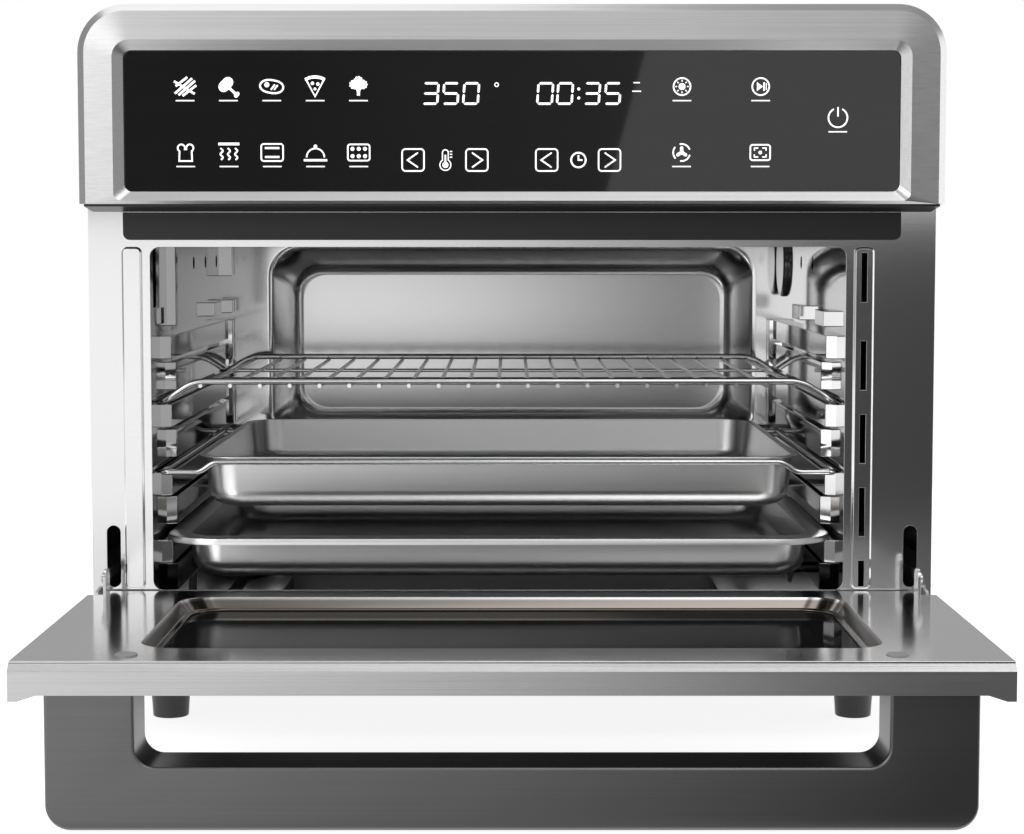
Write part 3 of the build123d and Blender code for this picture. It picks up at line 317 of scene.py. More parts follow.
def gridFaces(rows, columns, wrapRows, wrapColumns):
    # quads between neighbouring grid points
    index = np.arange(rows * columns).reshape(rows, columns)
    if wrapRows:
        index = np.vstack([index, index[:1]])
    if wrapColumns:
        index = np.hstack([index, index[:, :1]])
    quads = np.stack([index[:-1, :-1], index[:-1, 1:], index[1:, 1:], index[1:, :-1]], -1)
    return quads.reshape(-1, 4)


def sheet(points, wrapRows=False, wrapColumns=False, capFirst=False, capLast=False):
    # one grid: points, faces, with its first or last row closed by a cap
    rows, columns = points.shape[:2]
    faces = gridFaces(rows, columns, wrapRows, wrapColumns).tolist()
    if capFirst:
        faces.append(list(range(columns)))
    if capLast:
        faces.append(list(range((rows - 1) * columns, rows * columns)))
    return points.reshape(-1, 3), faces


def dress(made, name, body, slot, sharp=35.0, bevel=0.0, bevelAngle=30.0, finish=None):
    # smooth what is round, then finish and hang the piece on its body; seams are merged before it is called
    mesh = bpy.data.meshes.new(name)
    made.to_mesh(mesh)
    made.free()
    if "custom_normal" in mesh.attributes:
        mesh.attributes.remove(mesh.attributes["custom_normal"])  # a merged copy no longer fits them
    mesh.shade_smooth()
    mesh.set_sharp_from_angle(angle=radians(sharp))
    thing = bpy.data.objects.new(name, mesh)
    bpy.context.scene.collection.objects.link(thing)
    if bevel:
        edge = thing.modifiers.new("edge", "BEVEL")
        edge.width = bevel * mm
        edge.segments = 3
        edge.limit_method = "ANGLE"
        edge.angle_limit = radians(bevelAngle)
        edge.harden_normals = True
    mesh.materials.append(finishes[finish or slot])
    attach(thing, body)
    return thing


def build(name, sheets, body, slot, replaced=(), **options):
    # several sheets welded into one piece
    made = bmesh.new()
    for points, faces in sheets:
        verts = [made.verts.new(p) for p in (points * mm + sillOrigin).tolist()]
        for face in faces:
            made.faces.new([verts[i] for i in face])
    bmesh.ops.remove_doubles(made, verts=made.verts, dist=1e-6)
    bmesh.ops.dissolve_degenerate(made, edges=made.edges, dist=1e-7)
    bmesh.ops.recalc_face_normals(made, faces=made.faces)
    thing = dress(made, name, body, slot, **options)
    if replaced:
        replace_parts(thing, *replaced)
    return thing


def trimNode(node, bevel, shape=None):
    # a merged copy of a node with flat faces rejoined, so that its edges can be rounded; shape moves its points
    made = bmesh.new()
    made.from_mesh(nodes[node].data)
    bmesh.ops.remove_doubles(made, verts=made.verts, dist=1e-6)
    bmesh.ops.dissolve_limit(made, angle_limit=radians(0.3), verts=made.verts, edges=made.edges)
    thing = dress(made, "trim_" + node, bodyOf[node], slotOf[node], sharp=30.0, bevel=bevel)
    if shape:
        points = np.empty(3 * len(thing.data.vertices), np.float32)
        thing.data.vertices.foreach_get("co", points)
        points = shape((points.reshape(-1, 3) - sillOrigin) / mm) * mm + sillOrigin
        thing.data.vertices.foreach_set("co", points.astype(np.float32).ravel())
    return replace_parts(thing, node)


def roundLoop(x0, x1, z0, z1, radii, steps=8):
    # corner k: centre + r (cos t, sin t), t from 90k to 90k + 90 degrees, from the upper right corner round
    radii = np.broadcast_to(np.asarray(radii, float), 4)
    centreX = np.array([x1, x0, x0, x1]) + radii * [-1, 1, 1, -1]
    centreZ = np.array([z1, z1, z0, z0]) + radii * [-1, -1, 1, 1]
    angle = np.arange(4)[:, None] * pi / 2 + np.linspace(0, pi / 2, steps + 1)[None, :]
    x = centreX[:, None] + radii[:, None] * np.cos(angle)
    z = centreZ[:, None] + radii[:, None] * np.sin(angle)
    return np.stack([x.ravel(), z.ravel()], -1)


def upright(loop, y):
    # a loop drawn in x and z, standing at y
    return np.insert(loop, 1, y, axis=1)


def level(loop, z):
    # a loop drawn in x and y, lying at z
    return np.insert(loop, 2, z, axis=1)


def roundPath(points, bend, steps=8):
    # corners become curves (1-t)^2 A + 2t(1-t) C + t^2 B, with A and B a bend away from the corner C
    points = np.asarray(points, float)
    before = points[:-2] - points[1:-1]
    after = points[2:] - points[1:-1]
    a = points[1:-1] + before / np.linalg.norm(before, axis=1)[:, None] * bend
    b = points[1:-1] + after / np.linalg.norm(after, axis=1)[:, None] * bend
    t = np.linspace(0, 1, steps + 1)[None, :, None]
    curves = (1 - t) ** 2 * a[:, None] + 2 * t * (1 - t) * points[1:-1][:, None] + t ** 2 * b[:, None]
    return np.vstack([points[:1], curves.reshape(-1, 3), points[-1:]])


def tube(path, radius, sides, loop=False):
    # circles on the path's frames: along t, across n = t x (0, 0, 1), and b = n x t
    if loop:
        along = np.roll(path, -1, axis=0) - np.roll(path, 1, axis=0)
    else:
        along = np.gradient(path, axis=0)
    along /= np.linalg.norm(along, axis=1)[:, None]
    across = np.cross(along, (0.0, 0.0, 1.0))
    across /= np.linalg.norm(across, axis=1)[:, None]
    rise = np.cross(across, along)
    angle = np.linspace(0, 2 * pi, sides, endpoint=False)[None, :, None]
    rings = path[:, None] + radius * (np.cos(angle) * across[:, None] + np.sin(angle) * rise[:, None])
    return sheet(rings, wrapRows=loop, wrapColumns=True, capFirst=not loop, capLast=not loop)


# Control panel

bezelSizes = {"rim": 3.6, "rimDrop": 3.4, "band": 14.2, "bandDrop": 2.0, "bevel": 5.0, "bevelDrop": 3.2,
              "lowerRim": 1.6, "lowerBevel": 4.5, "corner": 24.0, "glassCorner": 4.0, "glassDeep": 3.0, "ledge": 3.0}


def controlBezel(s):
    # rounded loops from the back edge over the steep rim, up the band to the ridge, then down the bevel to the glass
    low, high = fromBox("control_bezel")
    ridge = low[1]

    def ring(inset, lift, y, upper, lower=0.2):
        loop = roundLoop(low[0] + inset, high[0] - inset, low[2] + lift, high[2] - inset,
                         [upper, upper, lower, lower], 14)
        return upright(loop, y)

    bandEdge = s["rim"] + s["band"]
    glassEdge = bandEdge + s["bevel"]
    glassLift = s["lowerRim"] + s["lowerBevel"]
    glassY = ridge + s["bevelDrop"]
    rimY = ridge + s["bandDrop"] + s["rimDrop"]
    small = s["glassCorner"]
    rings = [ring(0, 0, high[1], s["corner"]), ring(0, 0, rimY, s["corner"]),
             ring(s["rim"], 0, ridge + s["bandDrop"], s["corner"] - s["rim"]),
             ring(bandEdge, s["lowerRim"], ridge, small + s["lowerBevel"], small),
             ring(glassEdge, glassLift, glassY, small, small),
             ring(glassEdge, glassLift, glassY + s["glassDeep"], small, small),
             ring(glassEdge + s["ledge"], glassLift + s["ledge"], glassY + s["glassDeep"], small, small),
             ring(glassEdge + s["ledge"], glassLift + s["ledge"], high[1], small, small)]
    build("bezel_shell", [sheet(np.array(rings), wrapRows=True, wrapColumns=True)], "cabinet", "bezel_steel",
          ["control_bezel"], sharp=30.0, bevel=0.45, bevelAngle=14.0)


controlBezel(bezelSizes)

# Marks on the glass: own plain signs, drawn in millimetres about their middles

markSizes = {"print": 0.15, "line": 0.75, "thin": 0.55, "columns": -161.6 + 21.43 * np.arange(5), "upper": 254.7,
             "lower": 222.3, "label": 6.9, "labelHalf": 4.6, "labelHigh": 0.6, "right": (84.0, 122.9),
             "power": (161.2, 239.4),
             "keys": (-49.0, -33.0, -17.4, 17.2, 32.9, 48.3), "keyLevel": 218.6, "digitHigh": 10.0, "digitWide": 7.2,
             "digitLine": 1.15, "digitLevel": 251.3, "degree": (-7.6, 255.6), "units": 61.6,
             "unitBars": ((1.6, 256.6), (2.2, 252.4)),
             "digits": ((-40.2, 3), (-30.2, 5), (-20.2, 0), (16.4, 0), (26.2, 0), (39.6, 3), (49.8, 5)),
             "colon": 33.0, "colonGap": 2.2}
glassFront = fromBox("control_glass")[0][1]


def slab(loop):
    # a filled shape with the print's thickness
    return sheet(np.array([upright(loop, glassFront - markSizes["print"]), upright(loop, glassFront)]),
                 wrapColumns=True, capFirst=True, capLast=True)


def stroke(points, width, loop=False):
    # a ribbon along points: each point moved half a width along the mean of its neighbours' normals
    points = np.asarray(points, float)
    step = np.diff(np.vstack([points, points[:1]]) if loop else points, axis=0)
    normal = np.stack([-step[:, 1], step[:, 0]], -1) / np.linalg.norm(step, axis=1)[:, None]
    before = np.roll(normal, 1, axis=0) if loop else np.vstack([normal[:1], normal])
    after = normal if loop else np.vstack([normal, normal[-1:]])
    mean = before + after
    mean /= np.maximum(np.sum(mean * after, axis=1), 0.6)[:, None]
    left, right = points + mean * width / 2, points - mean * width / 2
    front, back = glassFront - markSizes["print"], glassFront
    rows = np.stack([upright(left, front), upright(right, front), upright(right, back), upright(left, back)], 1)
    return sheet(rows, wrapRows=loop, wrapColumns=True, capFirst=not loop, capLast=not loop)


def arc(radius, start=0.0, end=360.0, x=0.0, z=0.0, count=28):
    t = np.radians(np.linspace(start, end, count, endpoint=abs(end - start) < 360))
    return np.stack([x + radius * np.cos(t), z + radius * np.sin(t)], -1)


def blob(radius, waves, depth, turn=0.0, x=0.0, z=0.0, squash=1.0):
    # radius r (1 + depth cos(waves t)), squashed in height
    t = np.linspace(0, 2 * pi, 60, endpoint=False)
    r = radius * (1 + depth * np.cos(waves * t + turn))
    return np.stack([x + r * np.cos(t), z + squash * r * np.sin(t)], -1)


def frameBox(wide, high, round=1.2):
    return roundLoop(-wide / 2, wide / 2, -high / 2, high / 2, round, 4)


def signFries(line, thin):
    sticks = [((-5, -3.4), (3.6, 4)), ((-3.2, -4.2), (5, 2.8)), ((-1.2, -4.6), (5.6, 0.6)),
              ((-5.4, 2.6), (4.8, -3.6)), ((-4.6, 0.2), (1.2, 4.6))]
    return [stroke(stick, 1.1) for stick in sticks]


def signDrumstick(line, thin):
    return [slab(blob(3.4, 2, 0.22, -1.6, -1.2, 1.0)), stroke([(0.8, -1.0), (4.0, -4.0)], 1.3),
            slab(arc(1.0, x=4.5, z=-3.6)), slab(arc(1.0, x=3.8, z=-4.5))]


def signSteak(line, thin):
    # a bean-shaped cut with a bone and two grill lines
    return [stroke(blob(5.0, 2, 0.16, 0.5, squash=0.74), 0.9, True), slab(arc(1.25, x=-2.4, z=0.9)),
            stroke([(-0.4, -1.6), (1.6, 1.0)], 0.8), stroke([(1.2, -1.6), (3.0, 0.7)], 0.8)]


def signSlice(line, thin):
    # a wedge: two sides to a point, a thick rounded crust, three rounds on it
    crust = arc(9.6, 62, 118, 0.0, -4.9, 12)
    return [stroke(np.vstack([[(0.0, -4.9)], crust]), 0.8, True), stroke(arc(9.6, 60, 120, 0.0, -4.9, 12), 1.5),
            slab(arc(0.85, x=-1.3, z=1.6)), slab(arc(0.85, x=1.4, z=1.2)), slab(arc(0.7, x=0.0, z=-1.2))]


def signSprout(line, thin):
    heads = [slab(blob(2.2, 9, 0.10, x=x, z=z)) for x, z in ((-2.2, 1.0), (2.2, 1.0), (0, 2.8))]
    return heads + [stroke([(0, 2), (0, -4.4)], 1.5), stroke([(-2.2, 0.5), (0, -2.4)], 0.9),
                    stroke([(2.2, 0.5), (0, -2.4)], 0.9)]


def signToast(line, thin):
    crumb = np.vstack([arc(1.8, -60, 200, 2.1, 2.2, 12), arc(1.8, -20, 240, -2.1, 2.2, 12),
                       [(-3.2, -4.2), (3.2, -4.2)]])
    return [stroke(crumb, line, True)]


def signGrill(line, thin):
    waves = np.linspace(-3.6, 2.2, 22)
    heat = [stroke(np.stack([x + 0.6 * np.sin(waves * 1.9), waves], -1), 0.8) for x in (-3.6, 0.0, 3.6)]
    return heat + [stroke([(-5.2, 4.2), (5.2, 4.2)], 1.3)]


def signOven(line, thin):
    return [stroke(frameBox(10.8, 8.4), line, True), stroke([(-3.6, 2.2), (3.6, 2.2)], 1.0),
            stroke([(-3.6, -2.2), (3.6, -2.2)], 1.0)]


def signDome(line, thin):
    return [stroke(arc(4.4, 180, 0, 0, -2.4, 20), line), stroke([(-5.8, -3.8), (5.8, -3.8)], 1.1),
            slab(arc(0.9, x=0, z=3.0))]


def signDrying(line, thin):
    dots = [slab(arc(1.0, x=x, z=z, count=14)) for x in (-3.1, 0, 3.1) for z in (-1.8, 1.8)]
    return [stroke(frameBox(10.8, 8.0), line, True)] + dots


def signLamp(line, thin):
    rays = np.radians(np.arange(0, 360, 45))
    spokes = [stroke(np.outer([2.4, 3.3], [np.cos(a), np.sin(a)]), 0.5) for a in rays]
    return [stroke(arc(4.2), line, True), slab(arc(1.7))] + spokes


def signRun(line, thin):
    return [stroke(arc(4.2), line, True), slab(np.array([(-1.9, -2.2), (1.1, 0), (-1.9, 2.2)])),
            stroke([(1.6, -2.1), (1.6, 2.1)], 0.7), stroke([(2.7, -1.7), (2.7, 1.7)], 0.5)]


def signFan(line, thin):
    arcs = [stroke(arc(4.2, a, a + 84, count=12), line) for a in (20, 140, 260)]
    blades = [slab(blob(1.15, 2, 0.35, -a * 2, 1.5 * np.cos(a), 1.5 * np.sin(a))) for a in np.radians([90, 210, 330])]
    return arcs + blades


def signWarm(line, thin):
    corner = np.array([(1.0, 2.2), (2.9, 2.2), (2.9, 0.9)])
    marks = [stroke(corner * [sx, sz], 0.6) for sx in (-1, 1) for sz in (-1, 1)]
    return [stroke(frameBox(9.8, 7.6), line, True), slab(arc(0.9))] + marks


def signPower(line, thin):
    return [stroke(arc(4.7, 116, 424, count=30), line), stroke([(0, 0.6), (0, 5.2)], line)]


def signBack(line, thin):
    return [stroke(frameBox(10.8, 10.8, 1.6), line, True), stroke([(2.4, 3.6), (-2.8, 0), (2.4, -3.6)], line)]


def signOn(line, thin):
    return [stroke(frameBox(10.8, 10.8, 1.6), line, True), stroke([(-2.4, 3.6), (2.8, 0), (-2.4, -3.6)], line)]


def signHeat(line, thin):
    body = np.vstack([arc(2.7, 122, 418, 0, -2.4, 24), arc(1.45, 0, 180, 0, 3.6, 10)])
    ticks = [stroke([(2.2, z), (3.4, z)], thin) for z in (1.4, 2.8, 4.2)]
    return [stroke(body, thin, True), slab(arc(1.5, x=0, z=-2.4)), stroke([(0, -2.0), (0, 2.6)], 0.8)] + ticks


def signClock(line, thin):
    return [stroke(arc(3.6), 0.85, True), stroke([(0, 2.4), (0, 0), (2.0, 0)], 0.8)]


def digitBars(number, s):
    # seven bars, each pointed at both ends; the lit ones follow the number
    lit = {0: "abcdef", 3: "abcdg", 5: "acdfg"}[number]
    w, h, t = s["digitWide"] / 2, s["digitHigh"] / 2, s["digitLine"]
    gap = 0.25
    flat = np.array([(-w + gap, 0), (-w + gap + t / 2, t / 2), (w - gap - t / 2, t / 2), (w - gap, 0),
                     (w - gap - t / 2, -t / 2), (-w + gap + t / 2, -t / 2)])
    post = np.array([(0, gap), (t / 2, gap + t / 2), (t / 2, h - gap - t / 2), (0, h - gap),
                     (-t / 2, h - gap - t / 2), (-t / 2, gap + t / 2)])
    bars = {"a": flat + [0, h], "g": flat, "d": flat - [0, h], "b": post + [w, 0], "c": post * [1, -1] + [w, 0],
            "f": post - [w, 0], "e": post * [1, -1] - [w, 0]}
    lean = np.array([[1, 0], [0.07, 1]])
    return [bars[key] @ lean for key in lit]


def panelMarks(s):
    # every sign at its place, plain bars where words stood
    signs = list(zip(s["columns"], [s["upper"]] * 5, (signFries, signDrumstick, signSteak, signSlice, signSprout)))
    signs += list(zip(s["columns"], [s["lower"]] * 5, (signToast, signGrill, signOven, signDome, signDrying)))
    first, second = s["right"]
    signs += [(first, s["upper"], signLamp), (first, s["lower"], signFan), (second, s["upper"], signRun),
              (second, s["lower"], signWarm), (*s["power"], signPower)]
    sheets = []

    def add(made, x, z):
        for points, faces in made:
            sheets.append((points + [x, 0, z], faces))

    for x, z, sign in signs:
        add(sign(s["line"], s["thin"]), x, z)
        add([stroke([(-s["labelHalf"], 0), (s["labelHalf"], 0)], s["labelHigh"])], x, z - s["label"])
    for x, sign in zip(s["keys"], (signBack, signHeat, signOn, signBack, signClock, signOn)):
        add(sign(s["line"], s["thin"]), x, s["keyLevel"])
    for x, number in s["digits"]:
        for bar in digitBars(number, s):
            add([slab(bar)], x, s["digitLevel"])
    for z in (-s["colonGap"], s["colonGap"]):
        add([slab(arc(0.75, count=14))], s["colon"], s["digitLevel"] + z)
    add([stroke(arc(0.9, count=16), 0.5, True)], *s["degree"])
    for half, z in s["unitBars"]:
        add([stroke([(-half, 0), (half, 0)], s["labelHigh"])], s["units"], z)
    return build("panel_marks", sheets, "cabinet", "display_plastic", sharp=30.0, finish="marks")


panelMarks(markSizes)
print("control panel made")


# Pressed back wall

backSizes = {"flare": 12.5, "sideGap": 19.2, "top": 172.2, "height": 117.5, "deep": 32.0, "corner": 16.0,
             "round": 4.0}


def backWall(s):
    # loops from the wall's edge over the bulge's rim, down its flare and round onto the deep panel
    low, high = fromBox("cavity_back_wall")
    half = high[0] - 0.8 - s["sideGap"]
    base = low[1]

    def ring(inset, y, corner):
        loop = roundLoop(-half + inset, half - inset, s["top"] - s["height"] + inset, s["top"] - inset, corner, 10)
        return upright(loop, y)

    outer = upright(roundLoop(low[0], high[0], low[2], high[2], 0.3, 10), base)
    rings = [outer, ring(-s["round"] - 0.4, base, s["corner"] + s["round"]),
             ring(-s["round"], base, s["corner"] + s["round"])]
    turn = np.linspace(0, 1, 7)[1:]
    slope = np.arctan2(s["flare"], s["deep"])
    for t in turn:
        a = t * (pi / 2 - slope)
        rings.append(ring(-s["round"] + s["round"] * np.sin(a), base + s["round"] * (1 - np.cos(a)), s["corner"] + 2))
    for t in np.linspace(0, 1, 7):
        a = t * (pi / 2 - slope)
        rings.append(ring(s["flare"] - 1.4 + s["round"] * (1 - np.cos(a)) * 1.2,
                          base + s["deep"] - s["round"] * (1 - np.sin(a)), s["corner"]))
    rings += [ring(s["flare"] + more, base + s["deep"], s["corner"]) for more in (3.2, 3.6)]
    build("pressed_back_wall", [sheet(np.array(rings), wrapColumns=True, capLast=True)], "cabinet", "liner_satin",
          ["cavity_back_wall"], sharp=50.0)


backWall(backSizes)
print("back wall pressed")


# Side walls: the flat sheet as packed, its pressed guides, stops and pillars with crisp rounded edges

wallSizes = {"round": 0.55, "slant": 0.5, "reach": 5.5, "levels": 21.8 + 35.8 * np.arange(4), "pair": 29.6,
             "gap": 2.4, "share": 0.45, "upperStart": 30.0, "lowerStart": 48.0, "end": 278.0, "post": (276.0, 288.4),
             "postReach": 8.0, "leftStops": ((211.0, 245.0),), "rightStops": ((43.5, 77.5), (145.0, 180.0)),
             "stopBase": 133.4, "stopTop": 141.8, "pillar": (56.0, 67.0), "pillarReach": 4.5, "rearBase": 156.5,
             "sunk": 0.75}


def pressedBlock(plane, out, reach, y0, y1, z0, z1, slant=wallSizes["slant"]):
    # two loops: the foot just behind the wall's face, the crown a reach away; the front end leans back by the slant
    height = np.array([-wallSizes["sunk"], reach])[:, None]
    front = y0 + slant * height
    y = np.hstack([front, np.full((2, 2), y1), front])
    z = np.broadcast_to([z0, z0, z1, z1], (2, 4))
    x = np.broadcast_to(plane + out * height, (2, 4))
    return sheet(np.stack([x, y, z], -1), wrapColumns=True, capFirst=True, capLast=True)


def sideWall(node, out, s):
    low, high = fromBox(node)
    plane = high[0] - s["postReach"] if out > 0 else low[0] + s["postReach"]
    made = bmesh.new()
    made.from_mesh(nodes[node].data)
    bmesh.ops.remove_doubles(made, verts=made.verts, dist=1e-6)
    proud = [f for f in made.faces if max((v.co.x / mm - plane) * out for v in f.verts) > 0.05]
    bmesh.ops.delete(made, geom=proud, context="FACES")
    bmesh.ops.holes_fill(made, edges=[e for e in made.edges if e.is_boundary], sides=0)
    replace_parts(dress(made, "sheet_" + node, "cabinet", "liner_polished"), node)
    upper = (s["pair"] - s["gap"]) * s["share"]
    blocks = []
    for top in s["levels"]:
        blocks.append((s["reach"], s["upperStart"], s["end"], top - upper, top))
        blocks.append((s["reach"], s["lowerStart"], s["end"], top - s["pair"], top - upper - s["gap"]))
        blocks.append((s["postReach"], *s["post"], top - s["pair"], top))
    stops = s["leftStops"] if out > 0 else s["rightStops"]
    blocks += [(s["reach"], y0, y1, s["stopBase"], s["stopTop"], 0.0) for y0, y1 in stops]
    if out > 0:
        blocks.append((s["pillarReach"], *s["pillar"], s["stopBase"], high[2]))
        rearPosts = ((s["rearBase"], high[2]), (s["stopBase"], s["stopTop"]))
        blocks += [(s["postReach"], *s["post"], z0, z1) for z0, z1 in rearPosts]
    build("guides_" + node, [pressedBlock(plane, out, *block) for block in blocks], "cabinet", "liner_polished",
          sharp=30.0, bevel=s["round"])


sideWall("cavity_left_wall", 1, wallSizes)
sideWall("cavity_right_wall", -1, wallSizes)
print("side walls pressed")


# Wire rack and pan carrier

rackSizes = {"wire": 3.4, "bar": 2.2, "bars": 21, "rise": 11.0, "step": 16.6, "bend": 7.0, "front": 14.0,
             "back": 270.8, "side": 173.6, "level": 95.4, "braces": (1 / 3, 2 / 3)}
carrierSizes = {"wire": 3.0, "step": 19.2, "ramp": 7.2, "rise": 5.2, "bend": 3.0, "level": 59.4}
cavityMid = float(np.mean([fromBox("wire_rack")[0][0], fromBox("wire_rack")[1][0]]))


def closedWire(half, radius, bend):
    # the right half's rounded path, then its mirror image run backwards, closed into a loop
    path = roundPath(half, bend)
    mirrored = (path * [-1, 1, 1])[::-1]
    loop = np.vstack([path, mirrored[1:-1]])
    return tube(loop + [cavityMid, 0, 0], radius, 12, loop=True)


def wireRack(s):
    up = s["level"] + s["rise"]
    inner = s["side"] - s["step"]
    half = [(0, s["front"], up), (inner, s["front"], up), (s["side"], s["front"], s["level"]),
            (s["side"], s["back"], s["level"]), (inner, s["back"], up), (0, s["back"], up)]
    sheets = [closedWire(half, s["wire"] / 2, s["bend"])]
    barZ = up - s["wire"] / 2 - s["bar"] / 4
    ends = np.array([s["front"] - s["bar"] / 2, s["back"] + s["bar"] / 2])
    for x in np.linspace(-inner + s["wire"], inner - s["wire"], s["bars"]):
        run = np.stack([np.full(6, x + cavityMid), np.linspace(*ends, 6), np.full(6, barZ)], -1)
        sheets.append(tube(run, s["bar"] / 2, 10))
    for share in s["braces"]:
        y = s["front"] + (s["back"] - s["front"]) * share
        run = np.stack([np.linspace(-inner, inner, 6) + cavityMid, np.full(6, y), np.full(6, barZ - s["bar"] * 0.75)],
                       -1)
        sheets.append(tube(run, s["bar"] / 2, 10))
    build("rack_wires", sheets, "wire_rack", "wire_chrome", ["wire_rack"], sharp=50.0)


def panCarrier(s, r):
    up = s["level"] + s["rise"]
    step = r["side"] - s["step"]
    ramp = step - s["ramp"]
    front = [(0, r["front"], up), (ramp, r["front"], up), (step, r["front"], s["level"]),
             (r["side"], r["front"], s["level"])]
    back = [(x, r["back"], z) for x, y, z in front[::-1]]
    build("carrier_wire", [closedWire(front + back, s["wire"] / 2, s["bend"])], "roast_pan", "wire_chrome",
          ["pan_carrier"], sharp=50.0)


wireRack(rackSizes)
panCarrier(carrierSizes, rackSizes)
print("wires bent")


# Pressed dishes

dishSizes = {
    "roast_pan": {"rim": 3.5, "sheet": 0.9, "flare": 1.4, "corner": 18.0, "bottom": 9.0, "lip": 0.0, "edge": 0.45},
    "baking_tray": {"rim": 12.0, "sheet": 0.9, "flare": 1.4, "corner": 18.0, "bottom": 9.0, "lip": 3.4, "edge": 0.45}}


def dish(node, body, s):
    # loops: outside from the middle of the bottom up the wall, over the rim and down the inside
    low, high = fromBox(node)
    midX, midY = (low[:2] + high[:2]) / 2
    halfX, halfY = (high[:2] - low[:2]) / 2 - s["rim"]
    top, bottom = high[2], low[2]

    def ring(inset, z, corner):
        loop = roundLoop(midX - halfX + inset, midX + halfX - inset, midY - halfY + inset, midY + halfY - inset,
                         max(corner, 0.5), 9)
        return level(loop, z)

    def wall(offset, floor):
        # bottom corner as a quarter circle, then the sloping wall
        r = s["bottom"] - offset
        turn = np.linspace(0, pi / 2, 8)
        rows = [(s["flare"] + offset + r * (1 - np.sin(a)), floor + r * (1 - np.cos(a))) for a in turn]
        return [(inset - s["flare"] * (z - floor) / (top - floor), z) for inset, z in rows]

    outside = wall(0.0, bottom)
    inside = wall(s["sheet"], bottom + s["sheet"])
    rings = [ring(outside[0][0] + 30, bottom, s["corner"])]
    rings += [ring(i, z, s["corner"] - i * 0.5) for i, z in outside]
    under = top - s["sheet"]
    rings.append(ring(-0.2, under, s["corner"]))
    if s["lip"]:
        for inset, z in ((-s["rim"] + 1.6, under), (-s["rim"] + 1.0, under - 0.4),
                         (-s["rim"] + s["sheet"], under - 1.0),
                         (-s["rim"] + s["sheet"], top - s["lip"]), (-s["rim"], top - s["lip"]),
                         (-s["rim"], top - 1.4), (-s["rim"] + 0.4, top - 0.4), (-s["rim"] + 1.4, top)):
            rings.append(ring(inset, z, s["corner"] - inset))
    else:
        e = s["edge"]
        for a in np.linspace(-pi / 2, pi / 2, 7):
            rings.append(ring(-s["rim"] + e - e * np.cos(a), top - e + e * np.sin(a), s["corner"] + s["rim"]))
    rings.append(ring(-0.6, top, s["corner"]))
    rings.append(ring(0.2, top - 0.15, s["corner"]))
    rings += [ring(i, z, s["corner"] - i * 0.5) for i, z in inside[::-1]]
    rings.append(ring(inside[0][0] + 30, bottom + s["sheet"], s["corner"]))
    build("pressed_" + node, [sheet(np.array(rings), wrapColumns=True, capFirst=True, capLast=True)], body,
          "pan_steel", [node], sharp=45.0)


dish("roast_pan", "roast_pan", dishSizes["roast_pan"])
dish("baking_tray", "baking_tray", dishSizes["baking_tray"])
print("dishes pressed")


# Door window: the pressed corners drawn rounder than the solid's

doorSizes = {"half": 165.5, "near": -23.4, "far": -169.4, "corner": 7.0, "rounder": 17.0, "depth": 9.0}


def roundWindow(points):
    # folded into one corner, a point on the arc of inset i: centre - i (1, 1) + r (cos t, sin t); r grows, t and i stay
    s = doorSizes
    middle = np.array([0.0, (s["near"] + s["far"]) / 2])
    centre = np.array([s["half"], (s["near"] - s["far"]) / 2]) - s["corner"]
    off = points[:, :2] - middle
    q = np.abs(off) - centre
    total = q.sum(1)
    root = total ** 2 - 2 * ((q ** 2).sum(1) - s["corner"] ** 2)
    inset = (np.sqrt(np.maximum(root, 0)) - total) / 2
    arm = q + inset[:, None]
    onArc = (root > 0) & (arm.min(1) > -0.02) & (np.abs(inset) < s["depth"])
    grown = centre + s["corner"] - s["rounder"] - inset[:, None] + arm * s["rounder"] / s["corner"]
    moved = points.copy()
    moved[onArc, :2] = (middle + np.sign(off) * grown)[onArc]
    return moved


trimNode("door_inner_panel", bevel=0.35, shape=roundWindow)


# Pieces whose own shape is right: rounded edges and a finish

edgeRounds = (("outer_wrap", 0.25), ("front_frame", 0.25), ("upper_trim_strip", 0.3), ("control_glass", 0.3),
              ("panel_skirt", 0.25), ("door_frame", 0.8), ("door_inner_glass", 0.2),
              ("door_outer_glass", 0.2), ("door_handle", 0.3), ("feet", 0.8), ("base_pan", 0.2), ("rear_panel", 0.2),
              ("crumb_tray", 0.2), ("hinge_tab_left", 0.2), ("hinge_tab_right", 0.2), ("hinge_link_left", 0.2),
              ("hinge_link_right", 0.2), ("cord_gland", 0.3), ("lamp_lens", 0.2), ("upper_element", 0.0),
              ("lower_element", 0.0), ("rear_screws", 0.0), ("door_bumpers", 0.0))
for node, edge in edgeRounds:
    trimNode(node, edge)
for node, thing in nodes.items():
    if not thing.hide_render:
        thing.data.materials.clear()
        thing.data.materials.append(finishes[slotOf[node]])
print("nodes dressed")


# Stage: pale floor, a curved light sweep and a card in front, softboxes, camera

